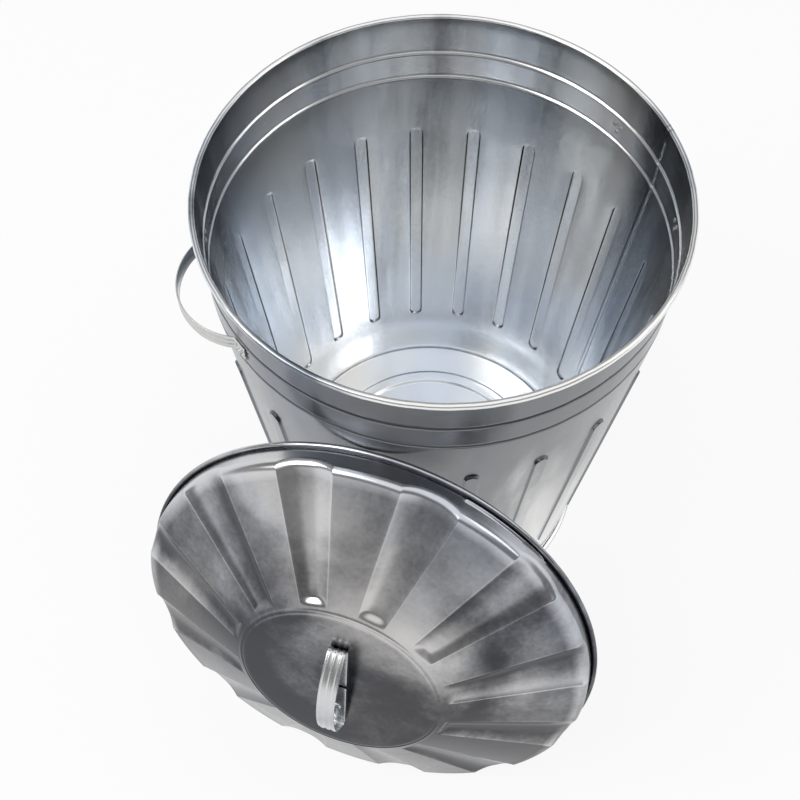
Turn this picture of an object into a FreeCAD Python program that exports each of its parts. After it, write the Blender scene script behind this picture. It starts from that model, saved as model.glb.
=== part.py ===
"""Galvanized trash can with its lid taken off and leaned against the can.

Frame: the origin is the centre of the can's foot ring, on the floor, and +Z is up.  The lid leans on
the can's -Y side, with its top facing -Y.  All lengths are millimetres and all angles are degrees.
"""
import FreeCAD
import Part
import math
import os

Vector = FreeCAD.Vector

# ---------------------------------------------------------------- can: overall sizes
RIM_DIAMETER = 540.0            # over the rolled rim
CAN_HEIGHT = 654.0              # floor to the top of the rolled rim
BASE_DIAMETER = 427.0           # inside the wall at the bottom panel
BOTTOM_RISE = 21.0              # floor to the upper face of the bottom panel
SHEET = 0.8                     # galvanized sheet, used for wall, bottom, hoop and lid

# ---------------------------------------------------------------- can: rolled edges and beads
RIM_WIRE_DIAMETER = 5.0         # wire inside the rolled rim
HOOP_WIRE_DIAMETER = 5.4        # wire inside the foot roll of the base hoop
WIRE_PLAY = 0.35                # radial clearance of every wire in its roll
ROLL_OPENING = 50.0             # angle left open where a roll ends beside its own sheet
COLLAR_DIAMETER = 524.0         # inside the wall at the lower ring bead
UPPER_BEAD_DROP = 54.0          # top of the rim down to the upper ring bead
BEAD_SPACING = 38.0             # between the two ring beads
BEAD_DEPTH = 2.2                # how far the beads stand into the can
BEAD_WIDTH = 7.0

# ---------------------------------------------------------------- can: pressed flutes
FLUTES_PER_SIDE = 10
FLUTE_WIDTH = 17.0
FLUTE_DEPTH = 2.6               # how far the flutes stand out of the wall
FLUTE_TOP_DROP = 82.0           # lower ring bead down to the flutes' upper ends
FLUTE_FOOT = 105.0              # floor up to the flutes' lower ends
# The flutes are pressed in two rows, one on each side of the handles' line: each row's middle,
# counted from the seam, and its pitch.
FLUTE_ROWS = ((85.0, 17.0), (-92.6, 18.0))

# ---------------------------------------------------------------- can: side seam and base
SEAM_AZIMUTH = 37.7             # the seam and the right handle, counted from +X towards +Y
SEAM_WIDTH = 8.0
SEAM_OUTSIDE = 0.9              # how far the folded seam stands out of the wall
SEAM_INSIDE = 0.5               # how far it stands into the can
WALL_FOOT = 4.5                 # floor up to the lower edge of the wall sheet
HOOP_HEIGHT = 30.0
HOOP_PLAY = 0.3                 # between the hoop and the wall that it grips
FOOT_FLAT = 0.3                 # depth of the flat that the foot roll stands on
FLANGE_PLAY = 0.3               # between the bottom panel's flange and the wall
FLANGE_CORNER = 4.0             # bend radius at the edge of the bottom panel
STEP_OUTER_DIAMETER = 329.0     # pressed step round the middle of the bottom panel
STEP_INNER_DIAMETER = 291.0
STEP_RISE = 3.5

# ---------------------------------------------------------------- side handles
STRAP_WIDTH = 21.0
STRAP_THICKNESS = 1.2
STRAP_RIBS = 3                  # ribs pressed along every strap
STRAP_RIB_WIDTH = 3.6
STRAP_RIB_RISE = 0.8
STRAP_GAP = 0.1                 # between a strap and the sheet that it is riveted to
BOW_RADIUS = 77.0               # middle of the strap round the bow
BOW_REACH = 35.0                # wall out to the middle of the strap at the bow's top
TAB_AZIMUTH = 17.2              # from the middle of the handle to its rivets
TAB_REACH = 11.0                # from the rivets to the end of the tab
TAB_BEND = 4.5                  # bend radius between tab and bow

# ---------------------------------------------------------------- rivets
RIVET_SHANK = 3.2
RIVET_HEAD = 6.4
RIVET_HEAD_RISE = 1.7
RIVET_TAIL_RISE = 1.2
TAIL_SHARE = 0.85               # width of a rivet's tail against its head
RIVET_FIT = 0.05                # radial clearance of the shanks in their holes
RIVET_PITCH = 10.5              # between the two upper rivets of a tab
RIVET_DROP = 9.0                # from the upper rivets down to the lower one
TAIL_ROOM = 0.3                 # room for the wall's curve and slope behind the rivets

# ---------------------------------------------------------------- lid
LID_PLAY = 1.5                  # radial clearance between the lid's skirt and the can's rim
LID_WIRE_DIAMETER = 4.2
LID_SKIRT = 27.0                # open edge up to the start of the shoulder
SHOULDER_RISE = 36.3            # open edge up to the foot of the cone
SHOULDER_SETBACK = 7.0          # from the outside of the skirt in to the foot of the cone
CONE_PITCH = 24.3               # slope of the cone
DISC_DIAMETER = 236.0           # raised disc in the middle of the lid
DISC_STEP = 3.0                 # how far the disc stands above the cone's upper edge
DISC_EDGE = 5.0                 # width of the sloping step round the disc
LID_GROOVES = 12
LID_GROOVE_ANGLE = 14.0         # width of a groove, as an angle about the lid's axis
LID_GROOVE_FLOOR = 0.4          # width of a groove's floor against its width
LID_GROOVE_START = 256.0        # diameter at which the grooves begin
LID_GROOVE_RAMP = 6.0           # length of the slope at a groove's inner end
LID_GROOVE_INNER_DEPTH = 3.5    # depth at the foot of that slope
LID_GROOVE_DEPTH = 6.0          # depth at the outer end
LID_GROOVE_LIP = 6.3            # from the skirt in to where the floor turns down
LID_GROOVE_FALL = 42.0          # slope of the floor there
HEM_LAP_START = 46.0            # tall stretch of the lid's hem, counted about the lid's axis
HEM_LAP_ANGLE = 22.5
HEM_LAP_RISE = 11.0             # height of the hem there
HEM_LAP_DEPTH = 1.6             # how far it stands off the skirt at its upper edge

# ---------------------------------------------------------------- lid handle
LID_HANDLE_LENGTH = 148.0
LID_HANDLE_RISE = 44.0          # disc up to the outside of the bow
LID_HANDLE_BEND = 6.0           # bend radius between the bow and its turned-in feet
LID_HANDLE_FOOT_GAP = 6.0       # between the ends of the two feet
LID_RIVET_SPACING = 84.0
LID_RIVET_SHANK = 5.0
LID_RIVET_HEAD = 10.0
LID_RIVET_HEAD_RISE = 2.4
LID_RIVET_TAIL_RISE = 1.6

# ---------------------------------------------------------------- how the lid leans
LID_LEAN = 17.3                 # angle between the lid's open edge and the vertical
LID_SPIN = 2.4                  # turn of the lid's handle away from the slope of the lid
LID_SIDE_STEP = 27.3            # middle of the lid from the can's middle, towards +X
REST_GAP = 0.5                  # between the lid's hem and the can's wall
FLOOR_GAP = 0.1                 # between the lid's hem and the floor
THROUGH = 20.0                  # how far cutting shapes run past the sheet that they cut

# ---------------------------------------------------------------- sizes that follow from the above
RIM_ROLL_INNER = RIM_WIRE_DIAMETER / 2 + WIRE_PLAY
RIM_ROLL_OUTER = RIM_ROLL_INNER + SHEET
RIM_ROLL_RADIUS = RIM_DIAMETER / 2 - RIM_ROLL_OUTER
RIM_ROLL_Z = CAN_HEIGHT - RIM_ROLL_OUTER
RIM_WALL_RADIUS = RIM_ROLL_RADIUS - RIM_ROLL_OUTER
UPPER_BEAD_Z = CAN_HEIGHT - UPPER_BEAD_DROP
LOWER_BEAD_Z = UPPER_BEAD_Z - BEAD_SPACING
FLUTE_HEAD = LOWER_BEAD_Z - FLUTE_TOP_DROP
HANDLE_Z = (UPPER_BEAD_Z + LOWER_BEAD_Z) / 2
HOOP_ROLL_INNER = HOOP_WIRE_DIAMETER / 2 + WIRE_PLAY
HOOP_ROLL_OUTER = HOOP_ROLL_INNER + SHEET
HOOP_ROLL_Z = HOOP_ROLL_OUTER - FOOT_FLAT
LID_ROLL_INNER = LID_WIRE_DIAMETER / 2 + WIRE_PLAY
LID_ROLL_OUTER = LID_ROLL_INNER + SHEET
LID_SKIRT_RADIUS = RIM_DIAMETER / 2 + LID_PLAY
LID_ROLL_RADIUS = LID_SKIRT_RADIUS + LID_ROLL_OUTER
LID_CONE_RADIUS = LID_SKIRT_RADIUS + SHEET - SHOULDER_SETBACK
CONE_SLOPE = math.tan(math.radians(CONE_PITCH))
LID_GROOVE_SINK = SHEET / math.cos(math.radians(LID_GROOVE_FALL))
DISC_Z = SHOULDER_RISE + CONE_SLOPE * (LID_CONE_RADIUS - DISC_DIAMETER / 2 - DISC_EDGE) + DISC_STEP


# ================================================================ drawing helpers
class Outline:
    """A chain of lines and arcs in the XZ plane, where X is the radius."""

    def __init__(self, x, z):
        self.here = Vector(x, 0, z)
        self.edges = []

    def line(self, x, z):
        there = Vector(x, 0, z)
        self.edges.append(Part.LineSegment(self.here, there).toShape())
        self.here = there
        return self

    def arc(self, middle, end):
        through = Vector(middle[0], 0, middle[1])
        there = Vector(end[0], 0, end[1])
        self.edges.append(Part.Arc(self.here, through, there).toShape())
        self.here = there
        return self

    def roll(self, x, z, radius, start, end):
        """Round a centre, from the start angle to the end angle."""
        middle = (start + end) / 2
        points = [(x + radius * math.cos(math.radians(a)), z + radius * math.sin(math.radians(a)))
                  for a in (middle, end)]
        return self.arc(*points)

    def wire(self):
        return Part.Wire(self.edges)

    def sheet(self, thickness):
        """The section of a sheet with this outline: a plus sign lays it to the left of the path."""
        return self.wire().makeOffset2D(thickness, 0, True, True)

    def face(self):
        first = self.edges[0].Vertexes[0].Point
        if first.distanceToPoint(self.here) > 1e-6:
            self.line(first.x, first.z)
        return Part.Face(Part.Wire(self.edges))


def shoulder_middle(low, high):
    """Middle of the arc from a low point, where it is upright, up to a high point further in."""
    across = low[0] - high[0]
    rise = high[1] - low[1]
    radius = (across ** 2 + rise ** 2) / (2 * across)
    half = math.atan2(rise, radius - across) / 2
    return low[0] - radius + radius * math.cos(half), low[1] + radius * math.sin(half)


def revolve(face, start=0.0, sweep=360.0):
    """Turn a section about the Z axis."""
    solid = face.revolve(Vector(0, 0, 0), Vector(0, 0, 1), sweep)
    if start:
        solid.rotate(Vector(0, 0, 0), Vector(0, 0, 1), start)
    return solid


def ring(radius, z, tube_diameter):
    return Part.makeTorus(radius, tube_diameter / 2, Vector(0, 0, z), Vector(0, 0, 1))


def one_solid(shape):
    """The single solid of a result, cleaned of the seams between its faces."""
    clean = shape.removeSplitter()
    solids = clean.Solids
    if len(solids) != 1:
        raise ValueError("expected one solid, found %d" % len(solids))
    return solids[0]


# ================================================================ can
def wall_radius(z):
    """Inside radius of the plain wall, without beads and flutes."""
    if z >= LOWER_BEAD_Z:
        share = (z - LOWER_BEAD_Z) / (RIM_ROLL_Z - LOWER_BEAD_Z)
        return COLLAR_DIAMETER / 2 + share * (RIM_WALL_RADIUS - COLLAR_DIAMETER / 2)
    share = (z - BOTTOM_RISE) / (LOWER_BEAD_Z - BOTTOM_RISE)
    return BASE_DIAMETER / 2 + share * (COLLAR_DIAMETER - BASE_DIAMETER) / 2


def wall_path(inset):
    """Outline of the wall's inner face up to the rim, moved in by an inset."""
    half = BEAD_WIDTH / 2
    path = Outline(wall_radius(WALL_FOOT) - inset, WALL_FOOT)
    for bead_z in (LOWER_BEAD_Z, UPPER_BEAD_Z):
        path.line(wall_radius(bead_z - half) - inset, bead_z - half)
        path.arc((wall_radius(bead_z) - inset - BEAD_DEPTH, bead_z),
                 (wall_radius(bead_z + half) - inset, bead_z + half))
    return path.line(RIM_WALL_RADIUS - inset, RIM_ROLL_Z)


def flute_slot(azimuth, width, low, high):
    """An upright slot with round ends, as a radial bar through the wall."""
    reach = wall_radius(low) - THROUGH
    length = wall_radius(high) + THROUGH - reach
    half = width / 2
    centres = (low + half, high - half)
    shapes = [Part.makeBox(length, width, centres[1] - centres[0], Vector(reach, -half, centres[0]))]
    for z in centres:
        shapes.append(Part.makeCylinder(half, length, Vector(reach, 0, z), Vector(1, 0, 0)))
    slot = shapes[0].fuse(shapes[1:]).removeSplitter()
    slot.rotate(Vector(0, 0, 0), Vector(0, 0, 1), azimuth)
    return slot


def wall_cone(offset, low, high):
    """The solid inside of the tapered wall, grown by an offset."""
    outline = Outline(0, low).line(wall_radius(low) + offset, low)
    outline.line(wall_radius(high) + offset, high).line(0, high)
    return revolve(outline.face())


def flute_azimuths():
    for middle, pitch in FLUTE_ROWS:
        for number in range(FLUTES_PER_SIDE):
            yield SEAM_AZIMUTH + middle + (number - (FLUTES_PER_SIDE - 1) / 2) * pitch


def make_body_shell():
    path = wall_path(0.0)
    path.roll(RIM_ROLL_RADIUS, RIM_ROLL_Z, RIM_ROLL_OUTER, 180, -180 + ROLL_OPENING)
    shell = revolve(path.sheet(-SHEET))
    # The folded side seam: a narrow, thicker stretch of the same wall, from the hoop to the rim.
    seam_angle = math.degrees(SEAM_WIDTH / COLLAR_DIAMETER * 2)
    section = wall_path(SEAM_INSIDE).sheet(-SEAM_INSIDE - SHEET - SEAM_OUTSIDE)
    seam = revolve(section, SEAM_AZIMUTH - seam_angle / 2, seam_angle)
    seam_foot = HOOP_HEIGHT + SHEET
    seam_length = RIM_ROLL_Z - RIM_ROLL_OUTER - SHEET - seam_foot
    seam = seam.common(Part.makeCylinder(RIM_DIAMETER, seam_length, Vector(0, 0, seam_foot)))
    # The flutes: a bar of each slot inside a grown cone, less the same slot one sheet smaller.
    low = FLUTE_FOOT - FLUTE_WIDTH
    high = FLUTE_HEAD + FLUTE_WIDTH
    outer_cone = wall_cone(FLUTE_DEPTH + SHEET, low, high).cut(wall_cone(SHEET / 2, low, high))
    inner_cone = wall_cone(FLUTE_DEPTH, low, high)
    bosses = []
    pockets = []
    for azimuth in flute_azimuths():
        outer = flute_slot(azimuth, FLUTE_WIDTH, FLUTE_FOOT, FLUTE_HEAD)
        inner = flute_slot(azimuth, FLUTE_WIDTH - 2 * SHEET, FLUTE_FOOT + SHEET, FLUTE_HEAD - SHEET)
        bosses.append(outer.common(outer_cone))
        pockets.append(inner.common(inner_cone))
    shell = shell.fuse([seam] + bosses).cut(pockets)
    holes = []
    for azimuth in handle_azimuths():
        for side in (-1, 1):
            holes += [rivet_hole(place) for place in tab_rivet_places(azimuth, side)]
    return one_solid(shell.cut(holes))


def make_top_rim_wire():
    return ring(RIM_ROLL_RADIUS, RIM_ROLL_Z, RIM_WIRE_DIAMETER)


def make_bottom_panel():
    """A disc with a pressed step in the middle and a flange turned down inside the wall."""
    def flange_radius(z):
        return wall_radius(z) - FLANGE_PLAY
    top = BOTTOM_RISE
    outer = STEP_OUTER_DIAMETER / 2
    inner = STEP_INNER_DIAMETER / 2
    corner = flange_radius(top)
    bend = FLANGE_CORNER * (1 - math.cos(math.radians(45)))
    path = Outline(flange_radius(WALL_FOOT), WALL_FOOT)
    path.line(flange_radius(top - FLANGE_CORNER), top - FLANGE_CORNER)
    path.arc((corner - bend, top - bend), (corner - FLANGE_CORNER, top))
    path.line(outer, top)
    path.line(outer - STEP_RISE, top + STEP_RISE)
    path.line(inner + STEP_RISE, top + STEP_RISE)
    path.line(inner, top)
    path.line(0, top)
    return one_solid(revolve(path.sheet(SHEET)))


def hoop_inner_radius(z):
    return wall_radius(z) + SHEET + HOOP_PLAY


def hoop_roll_radius():
    return hoop_inner_radius(HOOP_ROLL_Z) + HOOP_ROLL_OUTER


def make_base_hoop():
    """A band round the foot of the wall, rolled outwards over a wire and flattened underneath."""
    path = Outline(hoop_inner_radius(HOOP_HEIGHT), HOOP_HEIGHT)
    path.line(hoop_inner_radius(HOOP_ROLL_Z), HOOP_ROLL_Z)
    path.roll(hoop_roll_radius(), HOOP_ROLL_Z, HOOP_ROLL_OUTER, 180, 540 - ROLL_OPENING)
    hoop = revolve(path.sheet(SHEET))
    below = Part.makeCylinder(RIM_DIAMETER, HOOP_HEIGHT, Vector(0, 0, -HOOP_HEIGHT))
    return one_solid(hoop.cut(below))


def make_base_hoop_wire():
    return ring(hoop_roll_radius(), HOOP_ROLL_Z, HOOP_WIRE_DIAMETER)


# ================================================================ rivets
def rivet_hole(place, shank=RIVET_SHANK):
    hole = Part.makeCylinder(shank / 2 + RIVET_FIT, 2 * THROUGH, Vector(0, 0, -THROUGH))
    hole.Placement = place
    return hole


def dome_middle(radius, rise):
    """Middle of the arc from a dome's top to its edge, measured from the dome's flat."""
    ball = (radius ** 2 + rise ** 2) / (2 * rise)
    half = math.asin(radius / ball) / 2
    return ball * math.sin(half), rise - ball + ball * math.cos(half)


def rivet(place, grip, shank=RIVET_SHANK, head=RIVET_HEAD, head_rise=RIVET_HEAD_RISE,
          tail_rise=RIVET_TAIL_RISE):
    """Local +Z points out of the head; Z = 0 is the face that the head sits on."""
    tail = head * TAIL_SHARE
    over_x, over_z = dome_middle(head / 2, head_rise)
    under_x, under_z = dome_middle(tail / 2, tail_rise)
    outline = Outline(0, head_rise).arc((over_x, over_z), (head / 2, 0))
    outline.line(shank / 2, 0).line(shank / 2, -grip).line(tail / 2, -grip)
    outline.arc((under_x, -grip - under_z), (0, -grip - tail_rise))
    solid = one_solid(revolve(outline.face()))
    solid.Placement = place
    return solid


# ================================================================ ribbed straps
class StrapPath:
    """The edge-on line of a riveted strap: foot, bend, bow, bend, foot.

    Both feet lie on the line y = 0.  The bow's arc is centred on (0, bow_y).  A strap whose feet turn
    in has its bends inside the bow, and one whose feet turn out has them outside.
    """

    def __init__(self, bow_radius, bow_y, bend, foot_end, foot_tilt, feet_out):
        self.bow_radius = bow_radius
        self.bow_y = bow_y
        self.bend = bend
        self.feet_out = feet_out
        tilt = math.radians(foot_tilt)
        # The foot's line: a point on it, its direction away from the middle and its normal.
        self.foot_end = Vector(*foot_end)
        self.along = Vector(math.cos(tilt), -math.sin(tilt), 0)
        self.normal = Vector(math.sin(tilt), math.cos(tilt), 0)
        reach = bow_radius + bend if feet_out else bow_radius - bend
        start = self.foot_end + self.normal * bend - Vector(0, bow_y, 0)
        ahead = start.dot(self.along)
        root = math.sqrt(ahead ** 2 - start.dot(start) + reach ** 2)
        self.bend_centre = self.foot_end + self.along * (root - ahead) + self.normal * bend
        outward = self.bend_centre - Vector(0, bow_y, 0)
        self.turn = math.atan2(outward.y, outward.x)

    def edges(self, offset):
        """The strap's line moved off the bow's centre, with its two ends."""
        bend = self.bend - offset if self.feet_out else self.bend + offset
        foot_end = self.foot_end + self.normal * (self.bend - bend)
        foot_start = self.bend_centre - self.normal * bend
        bow_start = Vector(0, self.bow_y, 0) + self.facing(self.turn) * (self.bow_radius + offset)
        top = Vector(0, self.bow_y + self.bow_radius + offset, 0)
        first = math.atan2(-self.normal.y, -self.normal.x)
        last = self.turn - math.pi if self.feet_out else self.turn
        bend_middle = self.bend_centre + self.facing((first + last) / 2) * bend
        right = [foot_end, foot_start, bend_middle, bow_start]
        left = [Vector(-point.x, point.y, 0) for point in right]
        chain = [Part.LineSegment(right[0], right[1]), Part.Arc(right[1], right[2], right[3]),
                 Part.Arc(right[3], top, left[3]), Part.Arc(left[3], left[2], left[1]),
                 Part.LineSegment(left[1], left[0])]
        return [curve.toShape() for curve in chain], right[0], left[0]

    @staticmethod
    def facing(angle):
        return Vector(math.cos(angle), math.sin(angle), 0)

    def band(self, low, high, inner, outer):
        """A slice of the strap between two offsets, extruded from low to high along Z."""
        outside, out_right, out_left = self.edges(outer)
        inside, in_right, in_left = self.edges(inner)
        left_cap = Part.LineSegment(out_left, in_left).toShape()
        right_cap = Part.LineSegment(in_right, out_right).toShape()
        loop = Part.Wire(outside + [left_cap] + inside[::-1] + [right_cap])
        slab = Part.Face(loop).extrude(Vector(0, 0, high - low))
        slab.translate(Vector(0, 0, low))
        return slab

    def strap(self):
        """The whole ribbed strap, centred on Z = 0."""
        half = STRAP_THICKNESS / 2
        solid = self.band(-STRAP_WIDTH / 2, STRAP_WIDTH / 2, -half, half)
        pitch = STRAP_WIDTH / STRAP_RIBS
        ribs = []
        for number in range(STRAP_RIBS):
            middle = (number - (STRAP_RIBS - 1) / 2) * pitch
            low = middle - STRAP_RIB_WIDTH / 2
            ribs.append(self.band(low, low + STRAP_RIB_WIDTH, 0, half + STRAP_RIB_RISE))
        return one_solid(solid.fuse(ribs))


# ================================================================ side handles
def handle_azimuths():
    """The right handle straddles the seam and the left one faces it."""
    return SEAM_AZIMUTH, SEAM_AZIMUTH + 180


def collar_radius():
    """Outside of the wall at the upper edge of the handles' straps."""
    return wall_radius(HANDLE_Z + STRAP_WIDTH / 2) + SHEET


def tab_rivet_places(azimuth, side):
    """Placements of a tab's three rivets, each facing straight out of the tab."""
    seat = collar_radius() + STRAP_GAP + STRAP_THICKNESS + STRAP_RIB_RISE
    upper = HANDLE_Z + RIVET_DROP / 2
    lower = HANDLE_Z - RIVET_DROP / 2
    turn = FreeCAD.Rotation(Vector(0, 0, 1), azimuth + side * TAB_AZIMUTH)
    facing = turn.multiply(FreeCAD.Rotation(Vector(0, 1, 0), 90))
    spots = ((-RIVET_PITCH / 2, upper), (RIVET_PITCH / 2, upper), (0, lower))
    return [FreeCAD.Placement(turn.multVec(Vector(seat, along, z)), facing) for along, z in spots]


def make_side_handle(azimuth):
    """A bowed strap whose two flat tabs lie on the wall between the ring beads."""
    seat = collar_radius() + STRAP_GAP + STRAP_THICKNESS / 2
    tab = math.radians(TAB_AZIMUTH)
    rivets = Vector(seat * math.sin(tab), seat * math.cos(tab), 0)
    away = Vector(math.cos(tab), -math.sin(tab), 0)
    end = rivets + away * TAB_REACH
    bow_y = collar_radius() + BOW_REACH - BOW_RADIUS
    path = StrapPath(BOW_RADIUS, bow_y, TAB_BEND, (end.x, end.y, 0), TAB_AZIMUTH, True)
    handle = path.strap()
    handle.rotate(Vector(0, 0, 0), Vector(0, 0, 1), azimuth - 90)
    handle.translate(Vector(0, 0, HANDLE_Z))
    for side in (-1, 1):
        handle = handle.cut([rivet_hole(place) for place in tab_rivet_places(azimuth, side)])
    return one_solid(handle)


def make_tab_rivets(azimuth, side):
    grip = STRAP_RIB_RISE + STRAP_THICKNESS + STRAP_GAP + SHEET + TAIL_ROOM
    return Part.makeCompound([rivet(place, grip) for place in tab_rivet_places(azimuth, side)])


# ================================================================ lid, in its own frame
def cone_z(radius):
    """Height of the cone's outer face above the lid's open edge."""
    return SHOULDER_RISE + CONE_SLOPE * (LID_CONE_RADIUS - radius)


def groove_section(radius, floor_z):
    """Section of a groove's cutter at a radius, as a closed chain open towards the top."""
    edge = radius * math.tan(math.radians(LID_GROOVE_ANGLE / 2))
    floor = LID_GROOVE_FLOOR * edge
    spread = (edge - floor) / LID_GROOVE_DEPTH * THROUGH
    corners = [Vector(radius, floor, floor_z), Vector(radius, floor + spread, floor_z + THROUGH),
               Vector(radius, -floor - spread, floor_z + THROUGH), Vector(radius, -floor, floor_z)]
    return Part.makePolygon(corners + corners[:1])


def groove_cutter():
    """What a groove takes out of the lid's cone and shoulder, in the XZ plane's direction."""
    start = LID_GROOVE_START / 2
    ramp_end = start + LID_GROOVE_RAMP
    before = start - LID_GROOVE_RAMP
    turn = LID_SKIRT_RADIUS + SHEET - LID_GROOVE_LIP
    past = turn + 2 * LID_GROOVE_LIP
    turn_z = cone_z(turn) - LID_GROOVE_DEPTH
    fall = math.tan(math.radians(LID_GROOVE_FALL)) * (past - turn)
    sections = [groove_section(before, cone_z(before) + LID_GROOVE_INNER_DEPTH),
                groove_section(ramp_end, cone_z(ramp_end) - LID_GROOVE_INNER_DEPTH),
                groove_section(turn, turn_z),
                groove_section(past, turn_z - fall)]
    return Part.makeLoft(sections, True, True)


def make_lid_shell():
    skirt = LID_SKIRT_RADIUS + SHEET
    disc = DISC_DIAMETER / 2
    # Drawn along the outer face, from the disc out and down to the middle of the skirt.
    path = Outline(0, DISC_Z).line(disc, DISC_Z)
    path.line(disc + DISC_EDGE, cone_z(disc + DISC_EDGE))
    path.line(LID_CONE_RADIUS, SHOULDER_RISE)
    path.arc(shoulder_middle((skirt, LID_SKIRT), (LID_CONE_RADIUS, SHOULDER_RISE)), (skirt, LID_SKIRT))
    path.line(skirt, LID_SKIRT / 2)
    plain = revolve(path.sheet(-SHEET))
    whole = revolve(path.line(0, LID_SKIRT / 2).face())
    # The grooves are taken out of the whole form, and a little lower out of the space under it.
    cutters = []
    for number in range(LID_GROOVES):
        cutter = groove_cutter()
        cutter.rotate(Vector(0, 0, 0), Vector(0, 0, 1), 90 + (number + 0.5) * 360.0 / LID_GROOVES)
        cutters.append(cutter)
    hollow = whole.cut(plain)
    lower = [cutter.translated(Vector(0, 0, -LID_GROOVE_SINK)) for cutter in cutters]
    top = whole.cut(cutters).cut(hollow.cut(lower))
    # Drawn along the inner face, from there down and round the roll at the open edge.
    path = Outline(LID_SKIRT_RADIUS, LID_SKIRT / 2).line(LID_SKIRT_RADIUS, LID_ROLL_OUTER)
    path.roll(LID_ROLL_RADIUS, LID_ROLL_OUTER, LID_ROLL_OUTER, 180, 540 - ROLL_OPENING)
    hem = revolve(path.sheet(SHEET))
    # A taller stretch of the hem, where its free edge is dressed up against the skirt.
    wire_top = LID_ROLL_OUTER + LID_ROLL_INNER
    lap = Outline(skirt - SHEET / 2, wire_top).line(LID_ROLL_RADIUS, wire_top)
    lap.line(skirt + HEM_LAP_DEPTH, HEM_LAP_RISE).line(skirt - SHEET / 2, HEM_LAP_RISE)
    lap = revolve(lap.face(), HEM_LAP_START, HEM_LAP_ANGLE)
    shell = top.fuse([hem, lap])
    holes = [rivet_hole(place, LID_RIVET_SHANK) for place in lid_rivet_places()]
    return one_solid(shell.cut(holes))


def make_lid_rim_wire():
    return ring(LID_ROLL_RADIUS, LID_ROLL_OUTER, LID_WIRE_DIAMETER)


def lid_rivet_places():
    seat = DISC_Z + STRAP_GAP + STRAP_RIB_RISE + STRAP_THICKNESS
    return [FreeCAD.Placement(Vector(0, side * LID_RIVET_SPACING / 2, seat), FreeCAD.Rotation())
            for side in (-1, 1)]


def make_lid_handle():
    """A bowed strap whose feet turn in under the bow, so that their ribs lie on the lid's disc."""
    to_middle = STRAP_RIB_RISE + STRAP_THICKNESS / 2
    foot_level = STRAP_GAP + to_middle
    bow_top = LID_HANDLE_RISE - to_middle
    half_length = LID_HANDLE_LENGTH / 2
    # The bow's arc passes through its top and through the widest points of the loop.
    widest = foot_level + LID_HANDLE_BEND
    rise = bow_top - widest
    bow_radius = (half_length ** 2 + rise ** 2) / (2 * rise)
    bow_y = bow_top - bow_radius
    path = StrapPath(bow_radius, bow_y, LID_HANDLE_BEND, (LID_HANDLE_FOOT_GAP / 2, foot_level, 0), 0, False)
    handle = path.strap()
    handle.rotate(Vector(0, 0, 0), Vector(1, 0, 0), 90)
    handle.rotate(Vector(0, 0, 0), Vector(0, 0, 1), 90)
    handle.translate(Vector(0, 0, DISC_Z))
    return one_solid(handle.cut([rivet_hole(place, LID_RIVET_SHANK) for place in lid_rivet_places()]))


def make_lid_rivets():
    grip = STRAP_THICKNESS + STRAP_RIB_RISE + STRAP_GAP + SHEET
    return Part.makeCompound([rivet(place, grip, LID_RIVET_SHANK, LID_RIVET_HEAD, LID_RIVET_HEAD_RISE,
                                    LID_RIVET_TAIL_RISE) for place in lid_rivet_places()])


# ================================================================ where the lid leans
def can_outer_radius(z):
    """Outside of the can at a height, with the roll of the rim."""
    above = abs(z - RIM_ROLL_Z)
    if above < RIM_ROLL_OUTER:
        return RIM_ROLL_RADIUS + math.sqrt(RIM_ROLL_OUTER ** 2 - above ** 2)
    return wall_radius(z) + SHEET


def lid_placement():
    """Stand the lid's hem on the floor and lean its upper edge on the wall."""
    lean = math.radians(LID_LEAN)
    upper = math.asin(LID_SIDE_STEP / LID_ROLL_RADIUS)
    height = FLOOR_GAP + LID_ROLL_OUTER + LID_ROLL_RADIUS * math.cos(lean)
    touch_z = height + LID_ROLL_RADIUS * math.cos(upper) * math.cos(lean)
    wall = max(can_outer_radius(touch_z - LID_ROLL_OUTER), can_outer_radius(touch_z + LID_ROLL_OUTER))
    away = wall + LID_ROLL_OUTER + REST_GAP + LID_ROLL_RADIUS * math.cos(upper) * math.sin(lean)
    # The ring's middle, and from there back along the lid's axis to its open edge.
    axis = Vector(0, -math.cos(lean), math.sin(lean))
    middle = Vector(LID_SIDE_STEP, -away, height)
    tilt = FreeCAD.Rotation(Vector(1, 0, 0), 90 - LID_LEAN)
    spin = FreeCAD.Rotation(Vector(0, 0, 1), LID_SPIN)
    return FreeCAD.Placement(middle - axis * LID_ROLL_OUTER, tilt.multiply(spin))


def on_lid(shape):
    placed = shape.copy()
    placed.Placement = lid_placement().multiply(placed.Placement)
    return placed


# ================================================================ write every piece
def main():
    os.makedirs("parts", exist_ok=True)
    right, left = handle_azimuths()
    pieces = {
        "body_shell": make_body_shell(),
        "top_rim_wire": make_top_rim_wire(),
        "bottom_panel": make_bottom_panel(),
        "base_hoop": make_base_hoop(),
        "base_hoop_wire": make_base_hoop_wire(),
        "right_handle": make_side_handle(right),
        "left_handle": make_side_handle(left),
        "right_handle_front_rivets": make_tab_rivets(right, -1),
        "right_handle_rear_rivets": make_tab_rivets(right, 1),
        "left_handle_front_rivets": make_tab_rivets(left, 1),
        "left_handle_rear_rivets": make_tab_rivets(left, -1),
        "lid_shell": on_lid(make_lid_shell()),
        "lid_rim_wire": on_lid(make_lid_rim_wire()),
        "lid_handle": on_lid(make_lid_handle()),
        "lid_handle_rivets": on_lid(make_lid_rivets()),
    }
    for name, shape in pieces.items():
        shape.exportStep("parts/%s.step" % name)
        print("%-26s solids %2d valid %s" % (name, len(shape.Solids), shape.isValid()))


main()
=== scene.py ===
import math

import bpy
import numpy as np
from bpy.props import FloatProperty, FloatVectorProperty, IntProperty, PointerProperty
from mathutils import Matrix, Vector


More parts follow.
